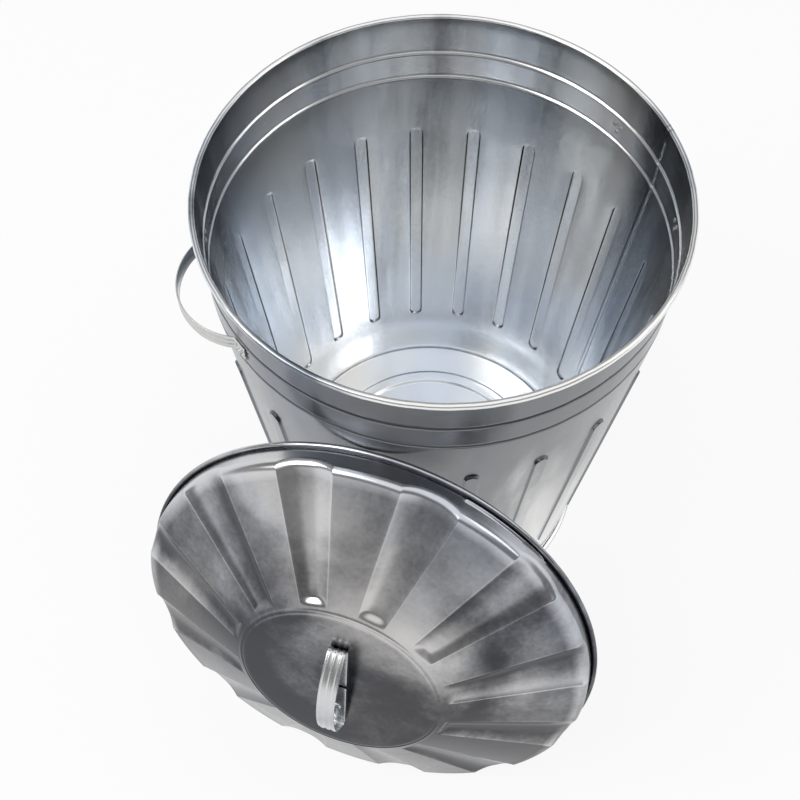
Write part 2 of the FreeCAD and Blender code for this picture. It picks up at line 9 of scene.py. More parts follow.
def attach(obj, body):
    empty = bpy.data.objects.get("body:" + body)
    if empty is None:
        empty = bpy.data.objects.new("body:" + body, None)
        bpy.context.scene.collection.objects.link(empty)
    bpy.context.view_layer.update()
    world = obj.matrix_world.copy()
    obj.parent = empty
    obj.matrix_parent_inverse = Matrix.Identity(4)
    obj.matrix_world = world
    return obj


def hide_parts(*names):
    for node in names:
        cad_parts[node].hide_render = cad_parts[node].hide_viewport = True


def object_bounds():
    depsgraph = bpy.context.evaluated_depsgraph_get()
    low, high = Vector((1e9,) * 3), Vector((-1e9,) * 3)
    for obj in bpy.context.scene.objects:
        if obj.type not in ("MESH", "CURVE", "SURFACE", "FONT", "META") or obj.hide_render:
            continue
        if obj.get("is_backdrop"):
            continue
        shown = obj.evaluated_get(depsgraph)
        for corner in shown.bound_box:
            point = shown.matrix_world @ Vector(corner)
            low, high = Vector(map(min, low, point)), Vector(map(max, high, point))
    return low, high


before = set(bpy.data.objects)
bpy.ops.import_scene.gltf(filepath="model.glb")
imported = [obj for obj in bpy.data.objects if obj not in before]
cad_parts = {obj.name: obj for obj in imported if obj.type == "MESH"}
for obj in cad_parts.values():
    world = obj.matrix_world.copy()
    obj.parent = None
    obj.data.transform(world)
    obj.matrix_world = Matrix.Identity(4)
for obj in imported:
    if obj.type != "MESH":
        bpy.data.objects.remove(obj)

bl_info = {
    "name": "Galvanized Trash Can",
    "version": (1, 0, 0),
    "blender": (4, 5, 0),
    "location": "View3D > Sidebar > Trash Can",
    "description": "Builds a galvanized trash can whose lid leans on it, with its finishes and a stage",
    "category": "Add Mesh",
}

CAD_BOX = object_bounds()
CAMERA_PLACE = (0.2162, -0.7766, 1.5786)
CAMERA_AHEAD = (-0.1634, 0.4800, -0.8619)
CAMERA_RIGHT = (0.9466, 0.3223, 0.0)
KEY_PLACE = (-1.6, -1.2, 2.6)
FILL_PLACE = (2.2, 0.6, 2.2)
LAMP_TARGET = (0.0, -0.1, 0.35)
WALL_SIZES = ("Flute Width", "Flute Depth", "Flute Edge", "Flute Foot", "Flute Head", "Rear Middle",
              "Rear Pitch", "Front Middle", "Front Pitch", "Seam Width", "Seam Outside", "Seam Inside")
LID_SIZES = ("Groove Angle", "Groove Wall", "Lap Start", "Lap Angle", "Lap Depth")


# ---------------------------------------------------------------- settings
def length(name, value, words):
    return FloatProperty(name=name, description=words, default=value, unit="LENGTH", precision=4)


def angle(name, degrees, words):
    return FloatProperty(name=name, description=words, default=math.radians(degrees), subtype="ANGLE")


def share(name, value, words):
    return FloatProperty(name=name, description=words, default=value, min=0.0, max=1.0, subtype="FACTOR")


def colour(name, value, words):
    return FloatVectorProperty(name=name, description=words, default=value, size=3, min=0.0, max=1.0,
                               subtype="COLOR")


class CanSettings(bpy.types.PropertyGroup):
    """Sizes of the can."""
    rim_diameter: length("Rim diameter", 0.540, "Over the rolled rim")
    height: length("Height", 0.654, "Floor to the top of the rim")
    base_diameter: length("Base diameter", 0.427, "Inside the wall at the bottom panel")
    collar_diameter: length("Collar diameter", 0.524, "Inside the wall at the lower bead")
    bottom_rise: length("Bottom rise", 0.021, "Floor to the bottom panel")
    sheet: length("Sheet", 0.0008, "Thickness of the sheet")
    rim_roll: length("Rim roll", 0.00365, "Radius of the rolled rim's section")
    upper_bead: length("Upper bead", 0.600, "Floor to the upper ring bead")
    lower_bead: length("Lower bead", 0.562, "Floor to the lower ring bead")
    bead_depth: length("Bead depth", 0.0028, "How far the ring beads stand into the can")
    bead_width: length("Bead width", 0.007, "Width of the ring beads")
    flute_count: IntProperty(name="Flutes in a row", description="Pressed flutes on each side", default=10)
    flute_width: length("Flute width", 0.0184, "Width of a flute over its edges")
    flute_depth: length("Flute depth", 0.0026, "How far the flutes stand out")
    flute_edge: length("Flute edge", 0.0018, "Width of a flute's sloping edge")
    flute_foot: length("Flute foot", 0.105, "Floor to the flutes' lower ends")
    flute_head: length("Flute head", 0.480, "Floor to the flutes' upper ends")
    rear_middle: angle("Rear row middle", 85.0, "From the seam to the middle of the rear row")
    rear_pitch: angle("Rear row pitch", 17.0, "Between the flutes of the rear row")
    front_middle: angle("Front row middle", -92.6, "From the seam to the middle of the front row")
    front_pitch: angle("Front row pitch", 18.0, "Between the flutes of the front row")
    seam_azimuth: angle("Seam", 37.7, "Where the side seam and the right handle are")
    seam_width: length("Seam width", 0.008, "Width of the side seam")
    seam_outside: length("Seam outside", 0.0009, "How far the seam stands out")
    seam_inside: length("Seam inside", 0.0005, "How far the seam stands into the can")
    hoop_height: length("Hoop height", 0.030, "Height of the base hoop")
    hoop_roll: length("Hoop roll", 0.00385, "Radius of the base hoop's rolled foot")
    step_outer: length("Step outer", 0.1645, "Outer radius of the step in the bottom")
    step_inner: length("Step inner", 0.1455, "Inner radius of the step in the bottom")
    step_rise: length("Step rise", 0.0035, "Height of the step in the bottom")


class LidSettings(bpy.types.PropertyGroup):
    """Sizes of the lid and how it leans."""
    skirt_radius: length("Skirt radius", 0.2715, "Inside of the lid's skirt")
    roll: length("Edge roll", 0.00325, "Radius of the rolled edge's section")
    skirt: length("Skirt", 0.027, "Open edge up to the shoulder")
    shoulder_rise: length("Shoulder rise", 0.0363, "Open edge up to the foot of the cone")
    shoulder_setback: length("Shoulder setback", 0.007, "Outside of the skirt in to the cone")
    cone_pitch: angle("Cone pitch", 24.3, "Slope of the cone")
    disc_radius: length("Disc radius", 0.118, "Radius of the raised disc")
    disc_step: length("Disc step", 0.003, "Height of the step round the disc")
    disc_edge: length("Disc edge", 0.005, "Width of the step round the disc")
    grooves: IntProperty(name="Grooves", description="Pressed grooves on the cone", default=12)
    groove_angle: angle("Groove angle", 14.0, "Width of a groove about the lid's axis")
    groove_wall: share("Groove wall", 0.85, "Width of a groove's side against half its width")
    groove_start: length("Groove start", 0.127, "Radius at which the grooves begin")
    groove_ramp: length("Groove ramp", 0.009, "Length of the slope at a groove's inner end")
    groove_inner: length("Inner depth", 0.0042, "Depth of a groove near its inner end")
    groove_depth: length("Groove depth", 0.0072, "Depth of a groove at its outer end")
    groove_lip: length("Groove lip", 0.0063, "Skirt in to where a groove's floor turns down")
    groove_fall: length("Groove fall", 0.0075, "How far a groove cuts down into the skirt")
    lap_start: angle("Lap start", 46.0, "Where the tall stretch of the hem begins")
    lap_angle: angle("Lap angle", 22.5, "Length of that stretch about the lid's axis")
    lap_rise: length("Lap rise", 0.011, "Height of the hem there")
    lap_depth: length("Lap depth", 0.0016, "How far it stands off the skirt")
    lean: angle("Lean", 17.3, "Between the lid's open edge and the vertical")
    spin: angle("Spin", 2.4, "Turn of the lid's handle away from the slope")
    side_step: length("Side step", 0.0273, "Middle of the lid from the can's middle")
    rest_gap: length("Rest gap", 0.0005, "Between the lid's edge and the wall")
    floor_gap: length("Floor gap", 0.0001, "Between the lid's edge and the floor")


class StrapSettings(bpy.types.PropertyGroup):
    """Sizes of the handles and their rivets."""
    width: length("Strap width", 0.021, "Width of a strap")
    thickness: length("Strap thickness", 0.0012, "Thickness of a strap between its ribs")
    rib_width: length("Rib width", 0.0036, "Width of a strap's rib")
    rib_rise: length("Rib rise", 0.0008, "How far a strap's ribs stand out")
    bow_radius: length("Bow radius", 0.077, "Middle of a side handle round its bow")
    bow_reach: length("Bow reach", 0.035, "Wall out to the middle of the bow's top")
    tab_azimuth: angle("Tab azimuth", 17.2, "Middle of a handle to its rivets")
    tab_reach: length("Tab reach", 0.011, "Rivets to the end of a tab")
    tab_bend: length("Tab bend", 0.0045, "Bend between tab and bow")
    handle_z: length("Handle height", 0.581, "Floor to the middle of the side handles")
    rivet_head: length("Rivet head", 0.0064, "Diameter of a side handle's rivet head")
    head_rise: length("Head rise", 0.0017, "Height of a side handle's rivet head")
    tail_rise: length("Tail rise", 0.0012, "Height of a side handle's rivet tail")
    tail_share: share("Tail share", 0.85, "Width of a rivet's tail against its head")
    rivet_pitch: length("Rivet pitch", 0.0105, "Between the two upper rivets of a tab")
    rivet_drop: length("Rivet drop", 0.009, "Upper rivets down to the lower one")
    lid_length: length("Lid handle length", 0.148, "Length of the lid's handle")
    lid_rise: length("Lid handle rise", 0.044, "Disc up to the top of the lid's handle")
    lid_bend: length("Lid handle bend", 0.006, "Bend at the ends of the lid's handle")
    lid_gap: length("Foot gap", 0.006, "Between the ends of the lid handle's feet")
    lid_rivets: length("Lid rivets", 0.084, "Between the lid handle's two rivets")
    lid_rivet_head: length("Lid rivet head", 0.010, "Diameter of the lid handle's rivet heads")
    lid_head_rise: length("Lid head rise", 0.0024, "Height of the lid handle's rivet heads")
    lid_tail_rise: length("Lid tail rise", 0.0016, "Height of the lid handle's rivet tails")


class FinishSettings(bpy.types.PropertyGroup):
    """Colours and spangle of the metal; the dark colours also carry painted shade and painted reflection."""
    can_light: colour("Can light", (0.92, 0.92, 0.92), "Bright parts of the can's sheet")
    # The can's dark colour: the zinc's own streaky tone, and also the painted reflections and painted shade on
    # the can.
    can_dark: colour("Can dark", (0.19, 0.20, 0.213), "Dark streaks on the can's sheet")
    lid_light: colour("Lid light", (0.70, 0.69, 0.695), "Bright parts of the lid's sheet")
    # The lid's dark colour: mostly painted shade and painted reflection where the lid faces sideways, with some
    # smudges.
    lid_dark: colour("Lid dark", (0.06, 0.06, 0.066), "Dark smudges on the lid's sheet")
    strap_colour: colour("Strap", (0.72, 0.72, 0.72), "Handle straps")
    wire_colour: colour("Wire", (0.50, 0.50, 0.51), "Wires in the rolled edges")
    rivet_colour: colour("Rivet", (0.75, 0.75, 0.75), "Rivets")
    spangle: share("Spangle", 0.5, "Strength of the zinc's crystal pattern")


class StageSettings(bpy.types.PropertyGroup):
    """Floor, light and camera."""
    floor_size: length("Floor size", 300.0, "Width of the floor")
    floor_tone: share("Floor tone", 0.93, "Brightness of the floor")
    floor_glow: share("Floor glow", 0.88, "Share of plain white where the floor is seen or mirrored")
    ceiling: FloatProperty(name="Ceiling", description="Brightness of the light from above", default=1.0)
    walls: FloatProperty(name="Walls", description="Brightness of the light from the sides", default=0.22)
    key_power: FloatProperty(name="Key power", description="Power of the large lamp", default=30.0,
                             unit="POWER")
    fill_power: FloatProperty(name="Fill power", description="Power of the side lamp", default=9.0,
                              unit="POWER")
    key_size: length("Key size", 1.6, "Width of the large lamp")
    fill_size: length("Fill size", 1.4, "Width of the side lamp")
    lens: FloatProperty(name="Lens", description="Focal length on a 36 mm sensor", default=51.15,
                        unit="CAMERA")


# ---------------------------------------------------------------- nodes from expressions
class Sock:
    """A node's output that takes part in Python arithmetic."""

    def __init__(self, graph, socket):
        self.graph = graph
        self.socket = socket

    def math(self, operation, *others):
        return self.graph.add("ShaderNodeMath", {"operation": operation}, [self, *others])

    def __add__(self, other):
        return self.math("ADD", other)

    def __sub__(self, other):
        return self.math("SUBTRACT", other)

    def __mul__(self, other):
        return self.math("MULTIPLY", other)

    def __truediv__(self, other):
        return self.math("DIVIDE", other)

    def __rsub__(self, other):
        return self.graph.add("ShaderNodeMath", {"operation": "SUBTRACT"}, [other, self])

    def __rtruediv__(self, other):
        return self.graph.add("ShaderNodeMath", {"operation": "DIVIDE"}, [other, self])

    def __pow__(self, other):
        return self.math("POWER", other)

    def __radd__(self, other):
        return self + other

    def __rmul__(self, other):
        return self * other

    def __abs__(self):
        return self.math("ABSOLUTE")

    def __round__(self):
        return self.math("ROUND")

    def least(self, other):
        return self.math("MINIMUM", other)

    def most(self, other):
        return self.math("MAXIMUM", other)

    def ease(self, low=0.0, high=1.0):
        """0 below low, 1 above high, with a smooth rise between them."""
        return self.graph.add("ShaderNodeMapRange", {"interpolation_type": "SMOOTHSTEP"},
                              {"Value": self, "From Min": low, "From Max": high})


class Graph:
    """Adds nodes to a tree and links them."""

    def __init__(self, tree):
        self.tree = tree

    def node(self, kind, settings=None, inputs=None):
        made = self.tree.nodes.new(kind)
        for key, value in (settings or {}).items():
            setattr(made, key, value)
        pairs = inputs.items() if isinstance(inputs, dict) else enumerate(inputs or [])
        for key, value in pairs:
            if isinstance(value, Sock):
                self.tree.links.new(value.socket, made.inputs[key])
            else:
                made.inputs[key].default_value = value
        return made

    def add(self, kind, settings=None, inputs=None, out=0):
        return Sock(self, self.node(kind, settings, inputs).outputs[out])

    def mix(self, factor, first, second):
        """A colour between two colours."""
        return self.add("ShaderNodeMix", {"data_type": "RGBA"}, {0: factor, 6: first, 7: second}, 2)

    def vector(self, operation, *values):
        return self.add("ShaderNodeVectorMath", {"operation": operation}, list(values))

    def scaled(self, value, amount):
        return self.add("ShaderNodeVectorMath", {"operation": "SCALE"}, {"Vector": value, "Scale": amount})


class GeometryGraph(Graph):
    """A geometry node tree with named inputs."""

    def __init__(self, name, inputs):
        super().__init__(bpy.data.node_groups.new(name, "GeometryNodeTree"))
        face = self.tree.interface
        face.new_socket("Geometry", in_out="INPUT", socket_type="NodeSocketGeometry")
        face.new_socket("Geometry", in_out="OUTPUT", socket_type="NodeSocketGeometry")
        for label, kind in inputs:
            face.new_socket(label, in_out="INPUT", socket_type="NodeSocket" + kind)
        face.new_socket("Material", in_out="INPUT", socket_type="NodeSocketMaterial")
        self.entry = self.tree.nodes.new("NodeGroupInput")

    def input(self, label):
        return Sock(self, self.entry.outputs[label])

    def attribute(self, name, kind="FLOAT"):
        return self.add("GeometryNodeInputNamedAttribute", {"data_type": kind}, {"Name": name})

    def close(self, geometry):
        real = self.add("GeometryNodeRealizeInstances", None, [geometry])
        finished = self.add("GeometryNodeSetMaterial", None,
                            {"Geometry": real, "Material": self.input("Material")})
        leave = self.tree.nodes.new("NodeGroupOutput")
        self.tree.links.new(finished.socket, leave.inputs["Geometry"])


def named(group, labels):
    """The settings of a group by the labels of a tree's inputs."""
    return {label: getattr(group, label.lower().replace(" ", "_")) for label in labels}


def run_tree(base, graph, values, name):
    """Evaluate a tree on an object and keep the result as a plain mesh."""
    modifier = base.modifiers.new("shape", "NODES")
    modifier.node_group = graph.tree
    for item in graph.tree.interface.items_tree:
        if item.in_out == "INPUT" and item.name in values:
            modifier[item.identifier] = values[item.name]
    bpy.context.view_layer.update()
    depsgraph = bpy.context.evaluated_depsgraph_get()
    mesh = bpy.data.meshes.new_from_object(base.evaluated_get(depsgraph), depsgraph=depsgraph)
    base.modifiers.remove(modifier)
    bpy.data.objects.remove(base)
    mesh.name = name
    made = bpy.data.objects.new(name, mesh)
    bpy.context.scene.collection.objects.link(made)
    return made


# ---------------------------------------------------------------- outlines and meshes
def run(start, end, count):
    """Points of a straight run, without its last point."""
    steps = np.linspace(0.0, 1.0, count, endpoint=False)[:, None]
    return np.array(start) + steps * (np.array(end) - np.array(start))


def bend(centre, radius, first, last, count):
    """Points of an arc from one angle to another in degrees, with both ends."""
    turn = np.radians(np.linspace(first, last, count))
    return np.stack([centre[0] + radius * np.cos(turn), centre[1] + radius * np.sin(turn)], 1)


def shoulder(low, high, count):
    """Arc from a high point down to a low point where it is upright, with both ends."""
    across = low[0] - high[0]
    rise = high[1] - low[1]
    radius = (across ** 2 + rise ** 2) / (2 * across)
    top = math.degrees(math.atan2(rise, radius - across))
    return bend((low[0] - radius, low[1]), radius, top, 0.0, count)


def shifted(line, distance):
    """A line moved sideways, to the left of its direction."""
    ahead = np.gradient(line, axis=0)
    ahead /= np.linalg.norm(ahead, axis=1)[:, None]
    return line + distance * np.stack([-ahead[:, 1], ahead[:, 0]], 1)


def new_object(name, points, faces, layers=None):
    """A smooth mesh object whose faces point outwards, with named layers of values at its points."""
    points = np.asarray(points, float)
    volume = 0.0
    for face in faces:
        corner = points[face[0]]
        for second, third in zip(face[1:], face[2:]):
            volume += corner @ np.cross(points[second], points[third])
    if volume < 0:
        faces = [face[::-1] for face in faces]
    mesh = bpy.data.meshes.new(name)
    mesh.from_pydata(points.tolist(), [], faces)
    mesh.shade_smooth()
    for label, values in (layers or {}).items():
        kind = "FLOAT_VECTOR" if values.ndim == 2 else "FLOAT"
        layer = mesh.attributes.new(label, kind, "POINT")
        layer.data.foreach_set("vector" if values.ndim == 2 else "value", values.astype(np.float32).ravel())
    made = bpy.data.objects.new(name, mesh)
    bpy.context.scene.collection.objects.link(made)
    return made


def ring_faces(rows, columns, pole_rows=()):
    """Faces of a loop of rows that is turned round an axis; pole rows are single points."""
    starts = []
    count = 0
    for row in range(rows):
        starts.append(count)
        count += 1 if row in pole_rows else columns
    faces = []
    for row in range(rows):
        after = (row + 1) % rows
        first, second = row in pole_rows, after in pole_rows
        if first and second:
            continue
        for column in range(columns):
            side = (column + 1) % columns
            a, b = starts[row] + column, starts[row] + side
            c, d = starts[after] + side, starts[after] + column
            if first:
                faces.append((starts[row], c, d))
            elif second:
                faces.append((a, b, starts[after]))
            else:
                faces.append((a, b, c, d))
    return faces


def ring(radius, height, turn):
    """Points at one radius and height, at every turn."""
    return np.stack([radius * np.cos(turn), radius * np.sin(turn), np.full(len(turn), height)], 1)


def turned(name, loop, columns=144):
    """A closed outline of radii and heights, turned about the Z axis."""
    poles = {row for row, point in enumerate(loop) if point[0] < 1e-6}
    turn = np.linspace(0, 2 * math.pi, columns, endpoint=False)
    points = [ring(radius, height, turn[:1] if row in poles else turn)
              for row, (radius, height) in enumerate(loop)]
    return new_object(name, np.concatenate(points), ring_faces(len(loop), columns, poles))


# ---------------------------------------------------------------- shapes that several pieces share
def wall_radius(can, z):
    """Inside radius of the plain wall."""
    top = can.height - can.rim_roll
    rim = can.rim_diameter / 2 - 2 * can.rim_roll
    return np.interp(z, [can.bottom_rise - 0.02, can.bottom_rise, can.lower_bead, top],
                     [can.base_diameter / 2 - 0.02 * taper(can), can.base_diameter / 2,
                      can.collar_diameter / 2, rim])


def taper(can):
    return (can.collar_diameter - can.base_diameter) / 2 / (can.lower_bead - can.bottom_rise)


def lid_matrix(can, lid):
    """Where the leaning lid's own frame lies."""
    hem = lid.skirt_radius + lid.roll
    upper = math.cos(math.asin(lid.side_step / hem))
    height = lid.floor_gap + lid.roll + hem * math.cos(lid.lean)
    touch = height + hem * upper * math.cos(lid.lean) + lid.roll
    away = float(wall_radius(can, touch)) + can.sheet + lid.roll + lid.rest_gap
    away += hem * upper * math.sin(lid.lean)
    axis = Vector((0, -math.cos(lid.lean), math.sin(lid.lean)))
    place = Vector((lid.side_step, -away, height)) - axis * lid.roll
    return (Matrix.Translation(place) @ Matrix.Rotation(math.pi / 2 - lid.lean, 4, "X")
            @ Matrix.Rotation(lid.spin, 4, "Z"))


def cone_z(lid, radius):
    edge = lid.skirt_radius + 0.0008 - lid.shoulder_setback
    return lid.shoulder_rise + math.tan(lid.cone_pitch) * (edge - radius)


def disc_z(lid):
    return cone_z(lid, lid.disc_radius + lid.disc_edge) + lid.disc_step


def finish_piece(piece, body, nodes, material):
    """Give a piece its material and body, store the up-down part of its normals for painted light, and let it
    stand for its CAD nodes.
    """
    mesh = piece.data
    mesh.materials.clear()
    mesh.materials.append(material)
    # The up-down part of each normal, kept for the material's painted light and shade.
    facing = np.zeros(len(mesh.vertices) * 3, np.float32)
    mesh.vertex_normals.foreach_get("vector", facing)
    mesh.attributes.new("slope", "FLOAT", "POINT").data.foreach_set("value", facing[2::3].copy())
    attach(piece, body)
    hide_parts(*nodes)


# ---------------------------------------------------------------- finishes, with painted light and shade
def metal(name, light, dark, rough, level=0.0, clouds=0.5, spangle=0.2, slope=0.0, tall=1.0, height=0.0):
    """Zinc-coated steel: cloudy patches, faint crystals, fine grain and soft dents.  The cloudy patches are
    partly the zinc's own uneven tone and partly painted reflections; the blue-grey and cream tint is a
    painted reflection.

    level, slope and height say how light the sheet is, how much it is lighter where it faces up or
    down (painted light and shade), and how it changes with height (painted shade).  A small tall draws the
    clouds out into upright streaks, which are painted reflections.  The 'outside' layer darkens the outer
    side as a painted reflection, and the 'edge' layer paints shade where it is positive and highlight where
    it is negative.
    """
    material = bpy.data.materials.get(name)
    if material:
        return material
    material = bpy.data.materials.new(name)
    material.use_nodes = True
    graph = Graph(material.node_tree)
    shader = material.node_tree.nodes["Principled BSDF"]
    place = graph.add("ShaderNodeTexCoord", out=3)
    stretched = graph.vector("MULTIPLY", place, (1.0, 1.0, tall))
    cloud = graph.add("ShaderNodeTexNoise", None, {"Vector": stretched, "Scale": 8.0, "Detail": 4.0,
                                                   "Roughness": 0.5, "Distortion": 0.5})
    broad = graph.add("ShaderNodeTexNoise", None, {"Vector": stretched, "Scale": 3.4, "Detail": 2.0})
    grain = graph.add("ShaderNodeTexNoise", None, {"Vector": place, "Scale": 190.0, "Detail": 3.0})
    cells = graph.add("ShaderNodeTexVoronoi", None, {"Vector": place, "Scale": 80.0}, 1)
    cell = graph.add("ShaderNodeSeparateColor", None, [cells])
    # Painted light: the 'slope' layer lightens faces that point up or down.
    facing = graph.add("ShaderNodeAttribute", {"attribute_name": "slope"}, None, 2)
    edge = graph.add("ShaderNodeAttribute", {"attribute_name": "edge"}, None, 2)
    # Painted reflection: the outer side is darkened in broad patches.
    outside = graph.add("ShaderNodeAttribute", {"attribute_name": "outside"}, None, 2)
    outside = outside * ((broad - 0.5) * 3.5 + 0.85)
    z = graph.add("ShaderNodeSeparateXYZ", None, [place], 2)
    # Painted light and shade: the height gradient, the outer side and the 'edge' mark go into the tone.
    shade = (cloud - 0.5) * (2.2 * clouds) + (broad - 0.5) * (1.8 * clouds) + (0.5 + level)
    shade = shade + abs(facing) * slope + (z - 0.4) * height - outside * 1.05 - edge * 0.6
    shade = shade + (cell - 0.5) * (0.10 * spangle) + (grain - 0.5) * 0.16
    tone = graph.mix(shade.ease(0.0, 1.0), (*dark, 1.0), (*light, 1.0))
    # Painted reflection: a blue-grey and cream tint standing for the surroundings.
    tint = graph.mix(broad.ease(0.35, 0.65), (0.86, 0.92, 1.0, 1.0), (0.98, 0.975, 0.96, 1.0))
    both = graph.add("ShaderNodeMix", {"data_type": "RGBA", "blend_type": "MULTIPLY"},
                     {0: 1.0, 6: tone, 7: tint}, 2)
    graph.tree.links.new(both.socket, shader.inputs["Base Color"])
    roughness = (cloud - 0.5) * 0.2 + (cell - 0.5) * (0.04 * spangle) + (grain - 0.5) * 0.1 + rough
    graph.tree.links.new(roughness.socket, shader.inputs["Roughness"])
    shader.inputs["Metallic"].default_value = 1.0
    dents = graph.add("ShaderNodeTexNoise", None, {"Vector": place, "Scale": 11.0, "Detail": 1.0})
    relief = dents * 0.7 + grain * 0.003
    bump = graph.add("ShaderNodeBump", None, {"Strength": 0.4, "Distance": 0.004, "Height": relief})
    graph.tree.links.new(bump.socket, shader.inputs["Normal"])
    return material


def can_material():
    finish = bpy.context.scene.bin_finish
    # Painted reflections and shade: upright streaks, darker towards the top, lighter where it faces up or down.
    return metal("galvanized_can", finish.can_light, finish.can_dark, rough=0.22, level=0.44, clouds=1.4,
                 spangle=0.4 * finish.spangle, slope=0.2, tall=0.11, height=-1.3)


def lid_material():
    finish = bpy.context.scene.bin_finish
    # Painted reflection and shade: the lid is dark overall and lighter only where it faces up or down.
    return metal("galvanized_lid", finish.lid_light, finish.lid_dark, rough=0.2, level=-0.76, clouds=0.6,
                 spangle=finish.spangle, slope=1.15)


def dimmed(colour, part):
    return [part * channel for channel in colour]


def strap_material():
    light = bpy.context.scene.bin_finish.strap_colour
    # slope paints light where the strap faces up or down.
    return metal("galvanized_strap", light, dimmed(light, 0.3), rough=0.25, level=0.15, slope=0.2)


def wire_material():
    light = bpy.context.scene.bin_finish.wire_colour
    return metal("galvanized_wire", light, dimmed(light, 0.5), rough=0.35, level=0.1)


def rivet_material():
    light = bpy.context.scene.bin_finish.rivet_colour
    # slope paints light where a rivet faces up or down.
    return metal("zinc_rivet", light, dimmed(light, 0.3), rough=0.33, level=0.1, slope=0.1)


# ---------------------------------------------------------------- operators: can
def wall_columns(can):
    """Offsets of the wall's columns: a turn from the seam and a distance beside it, close at the flutes."""
    half = can.flute_width / 2
    edge_steps = (-1.15, -0.85, -0.6, -0.35, -0.1, 0.25)
    near = [0.0, 0.35, 0.62] + [1 + step / half * can.flute_edge for step in edge_steps]
    beside = sorted({side * share_of * half for share_of in near for side in (-1, 1)})
    columns = []
    for middle, pitch in ((can.front_middle, can.front_pitch), (can.rear_middle, can.rear_pitch)):
        for number in range(can.flute_count):
            centre = middle + (number - (can.flute_count - 1) / 2) * pitch
            columns += [(centre, offset) for offset in beside]
            if number < can.flute_count - 1:
                columns += [(centre + pitch * part, 0.0) for part in (0.38, 0.5, 0.62)]
    seam = can.seam_width / 2
    columns += [(0.0, seam * part) for part in (-1.3, -1.05, -0.9, -0.6, 0.0, 0.6, 0.9, 1.05, 1.3)]
    beside_seam = (-8.5, -6.0, -3.5, 3.2, 5.0)
    facing_seam = (164.5, 167.0, 170.0, 173.0, 176.0, 179.0, -178.5, -176.5)
    columns += [(math.radians(turn), 0.0) for turn in beside_seam + facing_seam]
    return sorted(columns, key=lambda column: column[0] + column[1] / 0.25)


def press_wall_tree():
    """Geometry nodes that press the two rows of flutes and the side seam into a plain wall."""
    floats = [(label, "Float") for label in (*WALL_SIZES, "Seam Foot", "Seam Head", "Seam Fold", "Seam End")]
    graph = GeometryGraph("Press Can Wall", floats + [("Flutes", "Int")])
    take = graph.input
    turn, height = graph.attribute("turn"), graph.attribute("height")
    radius, outside = graph.attribute("radius"), graph.attribute("outside")
    last = (take("Flutes") - 1) * 0.5
    beside = []
    for row in ("Rear", "Front"):
        middle, pitch = take(row + " Middle"), take(row + " Pitch")
        number = round((turn - middle) / pitch + last).most(0.0).least(take("Flutes") - 1)
        beside.append(abs(turn - middle - (number - last) * pitch))
    across = beside[0].least(beside[1]) * radius
    half = take("Flute Width") * 0.5
    foot, head = take("Flute Foot") + half, take("Flute Head") - half
    along = (foot - height).most(height - head).most(0.0)
    inside = half - (across * across + along * along) ** 0.5
    flute = take("Flute Depth") * (inside / take("Flute Edge")).ease()
    fold = ((take("Seam Width") * 0.5 - abs(turn) * radius) / take("Seam Fold")).ease()
    seam = fold * ((height - take("Seam Foot")) / take("Seam End")).ease()
    seam = seam * ((take("Seam Head") - height) / take("Seam End")).ease()
    seam = seam * (outside * (take("Seam Outside") + take("Seam Inside")) - take("Seam Inside"))
    grow = (flute + seam) / radius + 1
    stretch = graph.add("ShaderNodeCombineXYZ", None, [grow, grow, 1.0])
    moved = graph.vector("MULTIPLY", graph.add("GeometryNodeInputPosition"), stretch)
    pressed = graph.add("GeometryNodeSetPosition", None, {"Geometry": take("Geometry"), "Position": moved})
    rise = (inside / take("Flute Edge")).ease()
    # Painted shade along the flutes' sloping edges and the seam's fold, plus the beads' painted shade and
    # highlight, stored as 'edge'.
    mark = rise * (1 - rise) * 6 + fold * (1 - fold) * 5 + graph.attribute("bead")
    graph.close(graph.add("GeometryNodeStoreNamedAttribute", {"data_type": "FLOAT", "domain": "POINT"},
                          {"Geometry": pressed, "Name": "edge", "Value": mark}))
    return graph


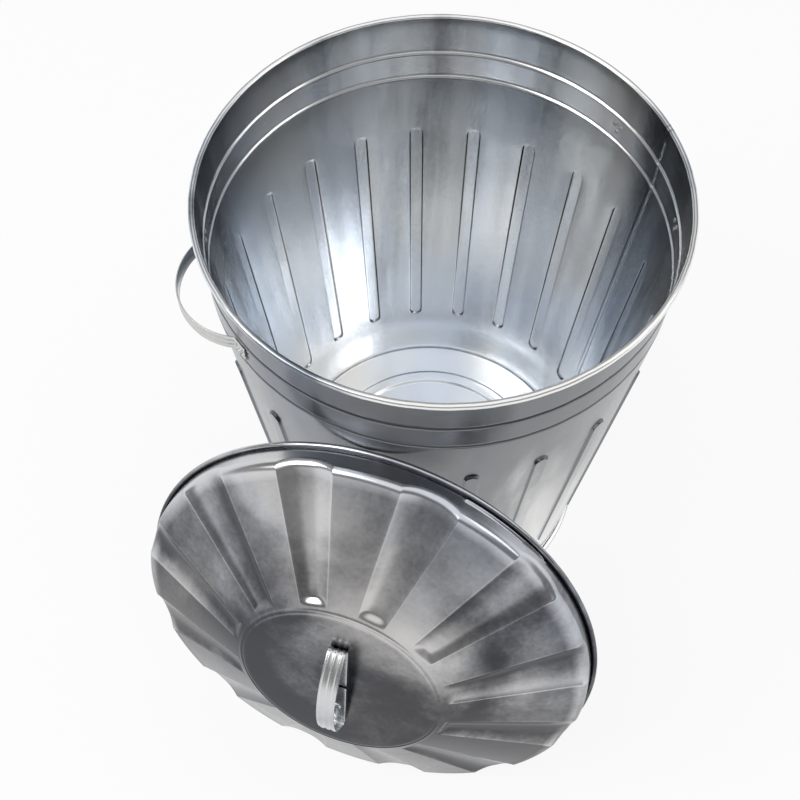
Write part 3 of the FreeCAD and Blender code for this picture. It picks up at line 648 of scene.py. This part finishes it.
class BIN_OT_wall(bpy.types.Operator):
    """Build the can's wall with its rolled rim, ring beads, flutes and side seam"""
    bl_idname = "bin.wall"
    bl_label = "Can wall"

    def execute(self, context):
        can = context.scene.bin_can
        foot = 0.0045
        top = can.height - can.rim_roll
        half = can.bead_width / 2
        heights = [foot, 0.012, can.bottom_rise, can.hoop_height, 0.05, 0.08]
        end = can.flute_width / 2
        fine = [0.0, 0.0006, 0.0012, 0.0018, 0.0024, 0.0032, 0.0042, 0.0056, 0.0072, 0.009]
        heights += [can.flute_foot + step for step in [-0.001] + fine]
        heights += list(np.linspace(can.flute_foot + 2 * end, can.flute_head - 2 * end, 12))
        heights += [can.flute_head - step for step in fine[::-1] + [-0.001]]
        heights += [0.50, 0.53]
        bead_parts = (-1.4, -1.0, -0.85, -0.6, -0.3, 0.0, 0.3, 0.6, 0.85, 1.0, 1.4)
        for bead in (can.lower_bead, can.upper_bead):
            heights += [bead + half * part for part in bead_parts]
        heights += [0.57, 0.583, 0.612, 0.625, 0.637, top]
        heights = np.array(sorted(heights))
        # Painted shade on the lower half of each bead and painted highlight on its middle and upper half, kept
        # as the 'bead' layer.
        press, shadow = np.zeros_like(heights), np.zeros_like(heights)
        for bead in (can.lower_bead, can.upper_bead):
            apart = (heights - bead) / half
            press += can.bead_depth * np.where(abs(apart) < 1, 0.5 + 0.5 * np.cos(math.pi * apart), 0.0)
            shadow += np.interp(apart, [-1.4, -1.0, -0.6, -0.3, 0.0, 0.3, 0.6],
                                [0.0, 2.0, 2.6, 1.4, -0.9, -1.3, 0.0])
        inner = np.stack([wall_radius(can, heights) - press, heights], 1)
        outer = inner + [can.sheet, 0.0]
        centre = (can.rim_diameter / 2 - can.rim_roll, top)
        inside_roll = bend(centre, can.rim_roll - can.sheet, 180, -130, 14)
        outside_roll = bend(centre, can.rim_roll, -130, 180, 26)
        loop = np.concatenate([outer[:-1], inside_roll, outside_roll, inner[:-1][::-1]])
        outside = np.concatenate([np.ones(len(outer) - 1 + 14), np.zeros(26 + len(inner) - 1)])
        bead = np.concatenate([shadow[:-1], np.zeros(40), shadow[:-1][::-1]])
        columns = wall_columns(can)
        radius = loop[:, :1]
        middles, offsets = np.array(columns).T
        turn = middles + offsets / radius
        azimuth = turn + can.seam_azimuth
        across = np.broadcast_to(radius, turn.shape)
        tall = np.broadcast_to(loop[:, 1:], turn.shape)
        points = np.stack([across * np.cos(azimuth), across * np.sin(azimuth), tall], 2).reshape(-1, 3)
        layers = {"turn": turn.ravel(), "height": tall.ravel(), "radius": across.ravel(),
                  "outside": np.repeat(outside, len(columns)), "bead": np.repeat(bead, len(columns))}
        base = new_object("wall_base", points, ring_faces(len(loop), len(columns)), layers)
        values = named(can, WALL_SIZES)
        values.update({"Seam Foot": can.hoop_height + 0.001, "Seam Head": top - can.rim_roll - 0.002,
                       "Seam Fold": 0.0009, "Seam End": 0.001, "Flutes": can.flute_count,
                       "Material": can_material()})
        wall = run_tree(base, press_wall_tree(), values, "can_wall")
        finish_piece(wall, "can", ["body_shell"], can_material())
        return {"FINISHED"}


class BIN_OT_base(bpy.types.Operator):
    """Build the can's bottom panel and the hoop round its foot"""
    bl_idname = "bin.base"
    bl_label = "Bottom and hoop"

    def execute(self, context):
        can = context.scene.bin_can
        rise = can.bottom_rise
        edge = float(wall_radius(can, rise)) - 0.0003
        corner = 0.004
        outer, inner, step = can.step_outer, can.step_inner, can.step_rise
        face = np.concatenate([
            [[0.0, rise]], run((0.03, rise), (inner - 0.004, rise), 5),
            bend((inner - 0.002, rise + 0.002), 0.002, 270, 315, 4),
            bend((inner + step, rise + step - 0.002), 0.002, 135, 90, 4),
            bend((outer - step, rise + step - 0.002), 0.002, 90, 45, 4),
            bend((outer + 0.002, rise + 0.002), 0.002, 225, 270, 4),
            run((outer + 0.006, rise), (edge - corner, rise), 4),
            bend((edge - corner, rise - corner), corner, 90, 5, 8),
            [[float(wall_radius(can, 0.0045)) - 0.0003, 0.0045]]])
        under = shifted(face, -can.sheet)
        under[0] = (0.0, rise - can.sheet)
        panel = turned("can_bottom", np.concatenate([face, under[::-1]]))
        finish_piece(panel, "can", ["bottom_panel"], can_material())
        roll, sheet = can.hoop_roll, can.sheet
        grip = sheet + 0.0003
        level = roll - 0.0003
        low, high = float(wall_radius(can, level)) + grip, float(wall_radius(can, can.hoop_height)) + grip
        centre = (low + roll, level)
        loop = np.concatenate([
            run((high, can.hoop_height), (low, level), 6), bend(centre, roll, 180, 490, 28),
            bend(centre, roll - sheet, 490, 180, 18),
            run((low + sheet, level + 0.001), (high + sheet, can.hoop_height), 6),
            [[high + sheet, can.hoop_height]]])
        loop[:, 1] = np.maximum(loop[:, 1], 0.0)
        hoop = turned("base_band", loop, 180)
        finish_piece(hoop, "can", ["base_hoop"], can_material())
        return {"FINISHED"}


# ---------------------------------------------------------------- operators: straps and rivets
def bend_strap_tree():
    """Geometry nodes that lay a straight strap along a path in the XY plane."""
    graph = GeometryGraph("Bend Strap", [("Path", "Object")])
    route = graph.add("GeometryNodeObjectInfo", {"transform_space": "ORIGINAL"},
                      {"Object": graph.input("Path")}, "Geometry")
    sample = graph.node("GeometryNodeSampleCurve", {"mode": "LENGTH"},
                        {"Curves": route, "Length": graph.attribute("along")})
    spot, ahead = Sock(graph, sample.outputs["Position"]), Sock(graph, sample.outputs["Tangent"])
    side = graph.vector("NORMALIZE", graph.vector("CROSS_PRODUCT", ahead, (0.0, 0.0, 1.0)))
    out = graph.scaled(side, graph.attribute("out"))
    width = graph.add("ShaderNodeCombineXYZ", None, [0.0, 0.0, graph.attribute("across")])
    moved = graph.vector("ADD", graph.vector("ADD", spot, out), width)
    graph.close(graph.add("GeometryNodeSetPosition", None,
                          {"Geometry": graph.input("Geometry"), "Position": moved}))
    return graph


def strap_route(bow_radius, bow_y, fillet, end, tilt, feet_out):
    """Middle line of a strap: foot, bend, bow, bend, foot, as points in the XY plane."""
    along = np.array([math.cos(tilt), -math.sin(tilt)])
    normal = np.array([math.sin(tilt), math.cos(tilt)])
    reach = bow_radius + fillet if feet_out else bow_radius - fillet
    start = np.array(end) + normal * fillet - [0, bow_y]
    ahead = start @ along
    onward = math.sqrt(ahead ** 2 - start @ start + reach ** 2) - ahead
    centre = np.array(end) + along * onward + normal * fillet
    turn = math.degrees(math.atan2(centre[1] - bow_y, centre[0]))
    first = math.degrees(math.atan2(-normal[1], -normal[0]))
    last = turn - 180 if feet_out else turn
    half = np.concatenate([run(end, centre - normal * fillet, 10), bend(centre, fillet, first, last, 14),
                           bend((0, bow_y), bow_radius, turn, 90, 30)[1:]])
    return np.concatenate([half, half[:-1][::-1] * [-1, 1]])


def make_strap(name, route, strap, place, nodes, body):
    """A ribbed strap along a route, moved to its place."""
    curve = bpy.data.curves.new(name + "_route", "CURVE")
    curve.dimensions = "3D"
    spline = curve.splines.new("POLY")
    spline.points.add(len(route) - 1)
    for point, (x, y) in zip(spline.points, route):
        point.co = (x, y, 0, 1)
    path = bpy.data.objects.new(name + "_route", curve)
    bpy.context.scene.collection.objects.link(path)
    half, wide = strap.thickness / 2, strap.width / 2
    section = [(-half, -wide), (half, -wide)]
    pitch = strap.width / 3
    rib = ((-0.62, 0.0), (-0.4, 0.45), (-0.2, 0.9), (0.0, 1.0), (0.2, 0.9), (0.4, 0.45), (0.62, 0.0))
    for middle in (-pitch, 0.0, pitch):
        for part, lift in rib:
            section.append((half + lift * strap.rib_rise, middle + part * strap.rib_width))
    section += [(half, wide), (-half, wide)]
    section = np.array(section)
    steps = np.concatenate([[0.0], np.cumsum(np.linalg.norm(np.diff(route, axis=0), axis=1))])
    rows, size = len(steps), len(section)
    along = np.repeat(steps, size)
    layers = {"along": along, "out": np.tile(section[:, 0], rows), "across": np.tile(section[:, 1], rows)}
    points = np.stack([along, layers["out"], layers["across"]], 1)
    faces = [(row * size + corner, row * size + (corner + 1) % size, (row + 1) * size + (corner + 1) % size,
              (row + 1) * size + corner) for row in range(rows - 1) for corner in range(size)]
    faces += [tuple(range(size))[::-1], tuple(range((rows - 1) * size, rows * size))]
    base = new_object(name + "_base", points, faces, layers)
    piece = run_tree(base, bend_strap_tree(), {"Path": path, "Material": strap_material()}, name)
    bpy.data.objects.remove(path)
    piece.data.transform(place)
    sharp = piece.modifiers.new("edges", "BEVEL")
    sharp.width = 0.0002
    sharp.segments = 2
    sharp.limit_method = "ANGLE"
    finish_piece(piece, body, nodes, strap_material())
    return piece


def tab_seat(can, strap):
    """Radius of the wall's outside where the straps lie."""
    return float(wall_radius(can, strap.handle_z + strap.width / 2)) + can.sheet + 0.0001


class BIN_OT_side_handles(bpy.types.Operator):
    """Bend the two ribbed side handles"""
    bl_idname = "bin.side_handles"
    bl_label = "Side handles"

    def execute(self, context):
        can, strap = context.scene.bin_can, context.scene.bin_strap
        seat = tab_seat(can, strap) + strap.thickness / 2
        tilt = strap.tab_azimuth
        end = (seat * math.sin(tilt) + strap.tab_reach * math.cos(tilt),
               seat * math.cos(tilt) - strap.tab_reach * math.sin(tilt))
        bow_y = tab_seat(can, strap) - 0.0001 + strap.bow_reach - strap.bow_radius
        route = strap_route(strap.bow_radius, bow_y, strap.tab_bend, end, tilt, True)
        sides = (("handle_right", "right_handle", 0.0), ("handle_left", "left_handle", math.pi))
        for name, node, turn in sides:
            place = (Matrix.Translation((0, 0, strap.handle_z))
                     @ Matrix.Rotation(can.seam_azimuth + turn - math.pi / 2, 4, "Z"))
            make_strap(name, route, strap, place, [node], "can")
        return {"FINISHED"}


class BIN_OT_lid_handle(bpy.types.Operator):
    """Bend the lid's ribbed handle"""
    bl_idname = "bin.lid_handle"
    bl_label = "Lid handle"

    def execute(self, context):
        can, lid, strap = context.scene.bin_can, context.scene.bin_lid, context.scene.bin_strap
        middle = strap.rib_rise + strap.thickness / 2
        foot = 0.0001 + middle
        top = strap.lid_rise - middle
        rise = top - foot - strap.lid_bend
        radius = ((strap.lid_length / 2) ** 2 + rise ** 2) / (2 * rise)
        route = strap_route(radius, top - radius, strap.lid_bend, (strap.lid_gap / 2, foot), 0.0, False)
        place = (lid_matrix(can, lid) @ Matrix.Translation((0, 0, disc_z(lid)))
                 @ Matrix.Rotation(math.pi / 2, 4, "Z") @ Matrix.Rotation(math.pi / 2, 4, "X"))
        make_strap("handle_lid", route, strap, place, ["lid_handle"], "lid")
        return {"FINISHED"}


def rivet_tree():
    """Geometry nodes that set a dome at every rivet's head and tail."""
    graph = GeometryGraph("Set Rivets", [("Dome", "Object"), ("Head Radius", "Float"), ("Head Rise", "Float"),
                                         ("Tail Radius", "Float"), ("Tail Rise", "Float")])
    take = graph.input
    dome = graph.add("GeometryNodeObjectInfo", {"transform_space": "ORIGINAL"}, {"Object": take("Dome")},
                     "Geometry")
    tail = graph.attribute("tail")
    wide = take("Head Radius") + (take("Tail Radius") - take("Head Radius")) * tail
    tall = take("Head Rise") + (take("Tail Rise") - take("Head Rise")) * tail
    size = graph.add("ShaderNodeCombineXYZ", None, [wide, wide, tall])
    facing = graph.attribute("facing", "FLOAT_VECTOR")
    turn = graph.add("FunctionNodeAlignRotationToVector", {"axis": "Z"}, {"Vector": facing})
    spots = graph.add("GeometryNodeMeshToPoints", None, {"Mesh": take("Geometry")})
    graph.close(graph.add("GeometryNodeInstanceOnPoints", None,
                          {"Points": spots, "Instance": dome, "Rotation": turn, "Scale": size}))
    return graph


def set_rivets(name, spots, sizes, body, nodes):
    """Rivets as (head place, direction out, grip), with a dome at each end."""
    heads = [(place, out, 0.0) for place, out, grip in spots]
    tails = [(place - out * grip, -out, 1.0) for place, out, grip in spots]
    ends = heads + tails
    mesh = bpy.data.meshes.new(name + "_spots")
    mesh.from_pydata([end[0] for end in ends], [], [])
    facing = mesh.attributes.new("facing", "FLOAT_VECTOR", "POINT")
    facing.data.foreach_set("vector", np.array([end[1] for end in ends], np.float32).ravel())
    tail = mesh.attributes.new("tail", "FLOAT", "POINT")
    tail.data.foreach_set("value", np.array([end[2] for end in ends], np.float32))
    base = bpy.data.objects.new(name + "_spots", mesh)
    bpy.context.scene.collection.objects.link(base)
    arc = bend((0, 0), 1.0, 90, 0, 8)
    rounded = np.stack([arc[:, 0] ** 0.85, arc[:, 1]], 1)
    rounded[0, 0] = 0.0
    dome = turned(name + "_dome", np.concatenate([rounded, [[1.0, -0.12], [0.0, -0.12]]]), 24)
    values = dict(sizes)
    values.update({"Dome": dome, "Material": rivet_material()})
    piece = run_tree(base, rivet_tree(), values, name)
    bpy.data.objects.remove(dome)
    piece.data.shade_smooth()
    finish_piece(piece, body, nodes, rivet_material())


class BIN_OT_rivets(bpy.types.Operator):
    """Set the rivets of the three handles"""
    bl_idname = "bin.rivets"
    bl_label = "Rivets"

    def execute(self, context):
        can, lid, strap = context.scene.bin_can, context.scene.bin_lid, context.scene.bin_strap
        seat = tab_seat(can, strap) + strap.thickness + strap.rib_rise
        grip = strap.rib_rise + strap.thickness + can.sheet + 0.0004
        spots = []
        for turn in (0.0, math.pi):
            for side in (-1, 1):
                azimuth = can.seam_azimuth + turn + side * strap.tab_azimuth
                facing = Matrix.Rotation(azimuth, 3, "Z")
                for beside, drop in ((-0.5, 0.5), (0.5, 0.5), (0.0, -0.5)):
                    height = strap.handle_z + drop * strap.rivet_drop
                    place = Vector((seat, beside * strap.rivet_pitch, height))
                    spots.append((facing @ place, facing @ Vector((1, 0, 0)), grip))
        head = strap.rivet_head / 2
        nodes = [side + end for side in ("right_handle_", "left_handle_")
                 for end in ("front_rivets", "rear_rivets")]
        sizes = {"Head Radius": head, "Head Rise": strap.head_rise, "Tail Radius": head * strap.tail_share,
                 "Tail Rise": strap.tail_rise}
        set_rivets("rivets_can", spots, sizes, "can", nodes)
        level = disc_z(lid) + 0.0001 + strap.rib_rise + strap.thickness
        turn = lid_matrix(can, lid)
        spots = [(turn @ Vector((0, side * strap.lid_rivets / 2, level)), turn.to_3x3() @ Vector((0, 0, 1)),
                  strap.thickness + strap.rib_rise + 0.0001 + can.sheet) for side in (-1, 1)]
        head = strap.lid_rivet_head / 2
        sizes = {"Head Radius": head, "Head Rise": strap.lid_head_rise,
                 "Tail Radius": head * strap.tail_share, "Tail Rise": strap.lid_tail_rise}
        set_rivets("rivets_lid", spots, sizes, "lid", ["lid_handle_rivets"])
        return {"FINISHED"}


# ---------------------------------------------------------------- operators: lid
def press_lid_tree():
    """Geometry nodes that press the grooves into a plain lid."""
    floats = [(label, "Float") for label in (*LID_SIZES, "First Groove", "Lap Fold")]
    graph = GeometryGraph("Press Lid", [("Grooves", "Int")] + floats)
    take = graph.input
    turn = graph.attribute("turn") - take("First Groove")
    pitch = 2 * math.pi / take("Grooves").most(1)
    half = take("Groove Angle") * 0.5
    beside = abs(turn - round(turn / pitch) * pitch)
    climb = 1 - ((half - beside) / (half * take("Groove Wall"))).most(0.0).least(1.0)
    mask = 1 - climb * climb
    level = graph.vector("MULTIPLY", graph.add("GeometryNodeInputPosition"), (1.0, 1.0, 0.0))
    heading = graph.vector("NORMALIZE", level)
    into_lap = graph.attribute("turn") - 2 * math.pi - take("Lap Start")
    lap = (into_lap / take("Lap Fold")).ease() * ((take("Lap Angle") - into_lap) / take("Lap Fold")).ease()
    lap = lap * graph.attribute("lap")
    flat = graph.scaled(heading, graph.attribute("press_out") * mask + lap * take("Lap Depth"))
    up = graph.add("ShaderNodeCombineXYZ", None, [0.0, 0.0, graph.attribute("press_up") * mask])
    pressed = graph.add("GeometryNodeSetPosition", None,
                        {"Geometry": take("Geometry"), "Offset": graph.vector("ADD", flat, up)})
    # Painted highlight along the grooves' rims and on the shoulder, stored as a negative 'edge' so the material
    # lightens there.
    crest = 1 - (abs(beside - half) / (half * 0.09)).least(1.0)
    worn = crest * graph.attribute("wear") * 0.5 + graph.attribute("worn")
    graph.close(graph.add("GeometryNodeStoreNamedAttribute", {"data_type": "FLOAT", "domain": "POINT"},
                          {"Geometry": pressed, "Name": "edge", "Value": worn * -0.5}))
    return graph


class BIN_OT_lid(bpy.types.Operator):
    """Press the lid with its grooves, disc and rolled edge, and lean it on the can"""
    bl_idname = "bin.lid"
    bl_label = "Lid"

    def execute(self, context):
        can, lid = context.scene.bin_can, context.scene.bin_lid
        sheet = can.sheet
        skirt = lid.skirt_radius + sheet
        disc, level = lid.disc_radius, disc_z(lid)
        cone = skirt - lid.shoulder_setback
        start, ramp_end = lid.groove_start, lid.groove_start + lid.groove_ramp
        turn_down = skirt - lid.groove_lip
        radii = np.concatenate([[disc + lid.disc_edge], np.linspace(start - 0.002, ramp_end, 10),
                                np.linspace(ramp_end, cone, 16)[1:]])
        slope = np.stack([radii, cone_z(lid, radii)], 1)
        share_of = np.clip((radii - ramp_end) / (turn_down - ramp_end), 0, 1)
        depth = lid.groove_inner + share_of * (lid.groove_depth - lid.groove_inner)
        climb = np.clip((radii - start) / lid.groove_ramp, 0, 1)
        depth *= climb * climb * (3 - 2 * climb)
        flat = [[radius, level] for radius in (0.0, 0.03, 0.06, 0.09, disc - 0.006)]
        crown = np.array(flat + [[disc - 0.002, level - 0.0001], [disc, level - 0.0005],
                                 [disc + 0.0015, level - 0.0018],
                                 [disc + 0.003, cone_z(lid, disc + 0.003) + 0.0010]])
        rim = shoulder((skirt, lid.skirt), (cone, lid.shoulder_rise), 12)[1:]
        lip = shoulder((skirt, lid.skirt - lid.groove_fall),
                       (cone, lid.shoulder_rise - lid.groove_depth), 12)[1:]
        side = np.concatenate([np.linspace(lid.skirt, lid.lap_rise, 7)[1:], [lid.lap_rise - 0.0004],
                               np.linspace(lid.lap_rise, lid.roll, 4)[1:]])
        fall = lid.groove_fall * np.clip((side - 2 * lid.roll) / (lid.skirt - 2 * lid.roll), 0, 1)
        outer = np.concatenate([crown, slope, rim, np.stack([np.full_like(side, skirt), side], 1)])
        press = np.concatenate([np.zeros((len(crown), 2)), np.stack([0 * depth, -depth], 1), lip - rim,
                                np.stack([0 * fall, -fall], 1)])
        inner = shifted(outer, -sheet)
        inner[0] = (0.0, level - sheet)
        centre = (lid.skirt_radius + lid.roll, lid.roll)
        inside_roll = bend(centre, lid.roll - sheet, 180, 490, 14)
        outside_roll = bend(centre, lid.roll, 490, 180, 26)
        loop = np.concatenate([outer, inside_roll, outside_roll, inner[::-1]])
        presses = np.concatenate([press, np.zeros((40, 2)), press[::-1]])
        lap = np.concatenate([outer[:, 1] < lid.lap_rise - 0.0002, np.zeros(40 + len(inner))]).astype(float)
        lap *= loop[:, 1] > 2 * lid.roll - 0.0005
        # Where the lid's painted highlights go: groove rims past the grooves' start, and the shoulder.
        wear = np.clip((loop[:, 0] - start) / lid.groove_ramp, 0, 1) * (loop[:, 1] > lid.skirt)
        worn = np.clip((loop[:, 0] - cone + 0.003) / 0.003, 0, 1) * (loop[:, 1] > lid.skirt - 0.004)
        pitch = 2 * math.pi / lid.grooves
        half = lid.groove_angle / 2
        beside = half * np.array([-1.1, -1.03, -1.0, -0.97, -0.93, -0.86, -0.78, -0.68, -0.56, -0.44, -0.32,
                                  -0.18])
        beside = np.concatenate([beside, [0.0], -beside[::-1]])
        first = math.pi / 2 + pitch / 2
        between = half * 1.1 + (pitch - 2.2 * half) * np.array([0.2, 0.4, 0.6, 0.8])
        turn = np.concatenate([first + number * pitch + np.concatenate([beside, between])
                               for number in range(lid.grooves)])
        columns = len(turn)
        poles = {0, len(loop) - 1}
        turns = [turn[:1] if row in poles else turn for row in range(len(loop))]
        points = [ring(radius, height, turned_by) for (radius, height), turned_by in zip(loop, turns)]
        sizes = [len(turned_by) for turned_by in turns]
        by_row = {"press_out": presses[:, 0], "press_up": presses[:, 1], "lap": lap, "wear": wear,
                  "worn": worn}
        layers = {label: np.repeat(values, sizes) for label, values in by_row.items()}
        layers["turn"] = np.concatenate(turns)
        base = new_object("lid_base", np.concatenate(points), ring_faces(len(loop), columns, poles), layers)
        values = named(lid, LID_SIZES)
        values.update({"Grooves": lid.grooves, "First Groove": first, "Lap Fold": 0.004,
                       "Material": lid_material()})
        piece = run_tree(base, press_lid_tree(), values, "lid_pressing")
        piece.data.transform(lid_matrix(can, lid))
        finish_piece(piece, "lid", ["lid_shell"], lid_material())
        return {"FINISHED"}


class BIN_OT_wires(bpy.types.Operator):
    """Give the wires inside the rolled edges their finish"""
    bl_idname = "bin.wires"
    bl_label = "Edge wires"

    def execute(self, context):
        for name in ("top_rim_wire", "base_hoop_wire", "lid_rim_wire"):
            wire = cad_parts[name]
            wire.data.materials.clear()
            wire.data.materials.append(wire_material())
        return {"FINISHED"}


# ---------------------------------------------------------------- operators: stage
class BIN_OT_stage(bpy.types.Operator):
    """Lay the floor and set the lamps and the camera"""
    bl_idname = "bin.stage"
    bl_label = "Stage"

    def execute(self, context):
        scene, stage = context.scene, context.scene.bin_stage
        half = stage.floor_size / 2
        corners = [(-half, -half, 0), (half, -half, 0), (half, half, 0), (-half, half, 0)]
        floor = new_object("floor", corners, [(0, 1, 2, 3)])
        material = bpy.data.materials.new("pale_floor")
        material.use_nodes = True
        graph = Graph(material.node_tree)
        cover = graph.node("ShaderNodeBsdfDiffuse", None, {"Color": (*[stage.floor_tone] * 3, 1.0)})
        white = graph.node("ShaderNodeEmission", None, {"Strength": 1.0})
        path = graph.node("ShaderNodeLightPath")
        seen = Sock(graph, path.outputs["Is Camera Ray"]) + Sock(graph, path.outputs["Is Glossy Ray"])
        seen = (seen + Sock(graph, path.outputs["Is Transmission Ray"])).least(1.0) * stage.floor_glow
        blend = graph.node("ShaderNodeMixShader", None,
                           [seen, Sock(graph, cover.outputs[0]), Sock(graph, white.outputs[0])])
        graph.tree.links.new(blend.outputs[0], material.node_tree.nodes["Material Output"].inputs["Surface"])
        floor.data.materials.append(material)
        floor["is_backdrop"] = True
        world = bpy.data.worlds.new("studio")
        scene.world = world
        world.use_nodes = True
        graph = Graph(world.node_tree)
        way = graph.add("ShaderNodeTexCoord", out=0)
        up = graph.add("ShaderNodeSeparateXYZ", None, [way], 2)
        wall = 1 - (up.ease(0.10, 0.30) - up.ease(0.62, 0.85)) * (1 - stage.walls)
        level = wall + up.ease(0.62, 0.85) * (stage.ceiling - 1)
        back = world.node_tree.nodes["Background"]
        back.inputs["Color"].default_value = (1.0, 1.0, 1.0, 1.0)
        graph.tree.links.new(level.socket, back.inputs["Strength"])
        for name, place, size, power in (("key", KEY_PLACE, stage.key_size, stage.key_power),
                                         ("fill", FILL_PLACE, stage.fill_size, stage.fill_power)):
            lamp = bpy.data.lights.new(name, "AREA")
            lamp.shape = "SQUARE"
            lamp.size = size
            lamp.energy = power
            holder = bpy.data.objects.new(name, lamp)
            scene.collection.objects.link(holder)
            toward = Vector(LAMP_TARGET) - Vector(place)
            holder.rotation_euler = toward.to_track_quat("-Z", "Y").to_euler()
            holder.location = place
        camera = bpy.data.cameras.new("camera")
        camera.lens = stage.lens
        camera.sensor_width = 36.0
        camera.clip_end = 100.0
        holder = bpy.data.objects.new("camera", camera)
        scene.collection.objects.link(holder)
        ahead = Vector(CAMERA_AHEAD).normalized()
        right = Vector(CAMERA_RIGHT).normalized()
        turn = Matrix((right, right.cross(ahead), -ahead)).transposed()
        holder.matrix_world = Matrix.Translation(CAMERA_PLACE) @ turn.to_4x4()
        scene.camera = holder
        scene.view_settings.view_transform = "Standard"
        return {"FINISHED"}


class BIN_PT_panel(bpy.types.Panel):
    """Lists the pieces that can be built"""
    bl_idname = "BIN_PT_panel"
    bl_label = "Trash Can"
    bl_space_type = "VIEW_3D"
    bl_region_type = "UI"
    bl_category = "Trash Can"

    def draw(self, context):
        for operator in OPERATORS:
            self.layout.operator(operator.bl_idname)
        for label in SETTINGS:
            group = getattr(context.scene, label)
            box = self.layout.box()
            for key in group.__annotations__:
                box.prop(group, key)


OPERATORS = (BIN_OT_wall, BIN_OT_base, BIN_OT_side_handles, BIN_OT_lid, BIN_OT_lid_handle, BIN_OT_rivets,
             BIN_OT_wires, BIN_OT_stage)
SETTINGS = {"bin_can": CanSettings, "bin_lid": LidSettings, "bin_strap": StrapSettings,
            "bin_finish": FinishSettings, "bin_stage": StageSettings}


def register():
    for item in (*SETTINGS.values(), *OPERATORS, BIN_PT_panel):
        bpy.utils.register_class(item)
    for label, group in SETTINGS.items():
        setattr(bpy.types.Scene, label, PointerProperty(type=group))


def unregister():
    for label in SETTINGS:
        delattr(bpy.types.Scene, label)
    for item in (BIN_PT_panel, *OPERATORS[::-1], *SETTINGS.values()):
        bpy.utils.unregister_class(item)


def main():
    register()
    bpy.ops.bin.wall()
    bpy.ops.bin.base()
    bpy.ops.bin.side_handles()
    bpy.ops.bin.lid()
    bpy.ops.bin.lid_handle()
    bpy.ops.bin.rivets()
    bpy.ops.bin.wires()
    bpy.ops.bin.stage()
    boxes = {"cad": [list(corner) for corner in CAD_BOX], "visual": [list(corner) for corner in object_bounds()]}


if __name__ == "__main__":
    main()
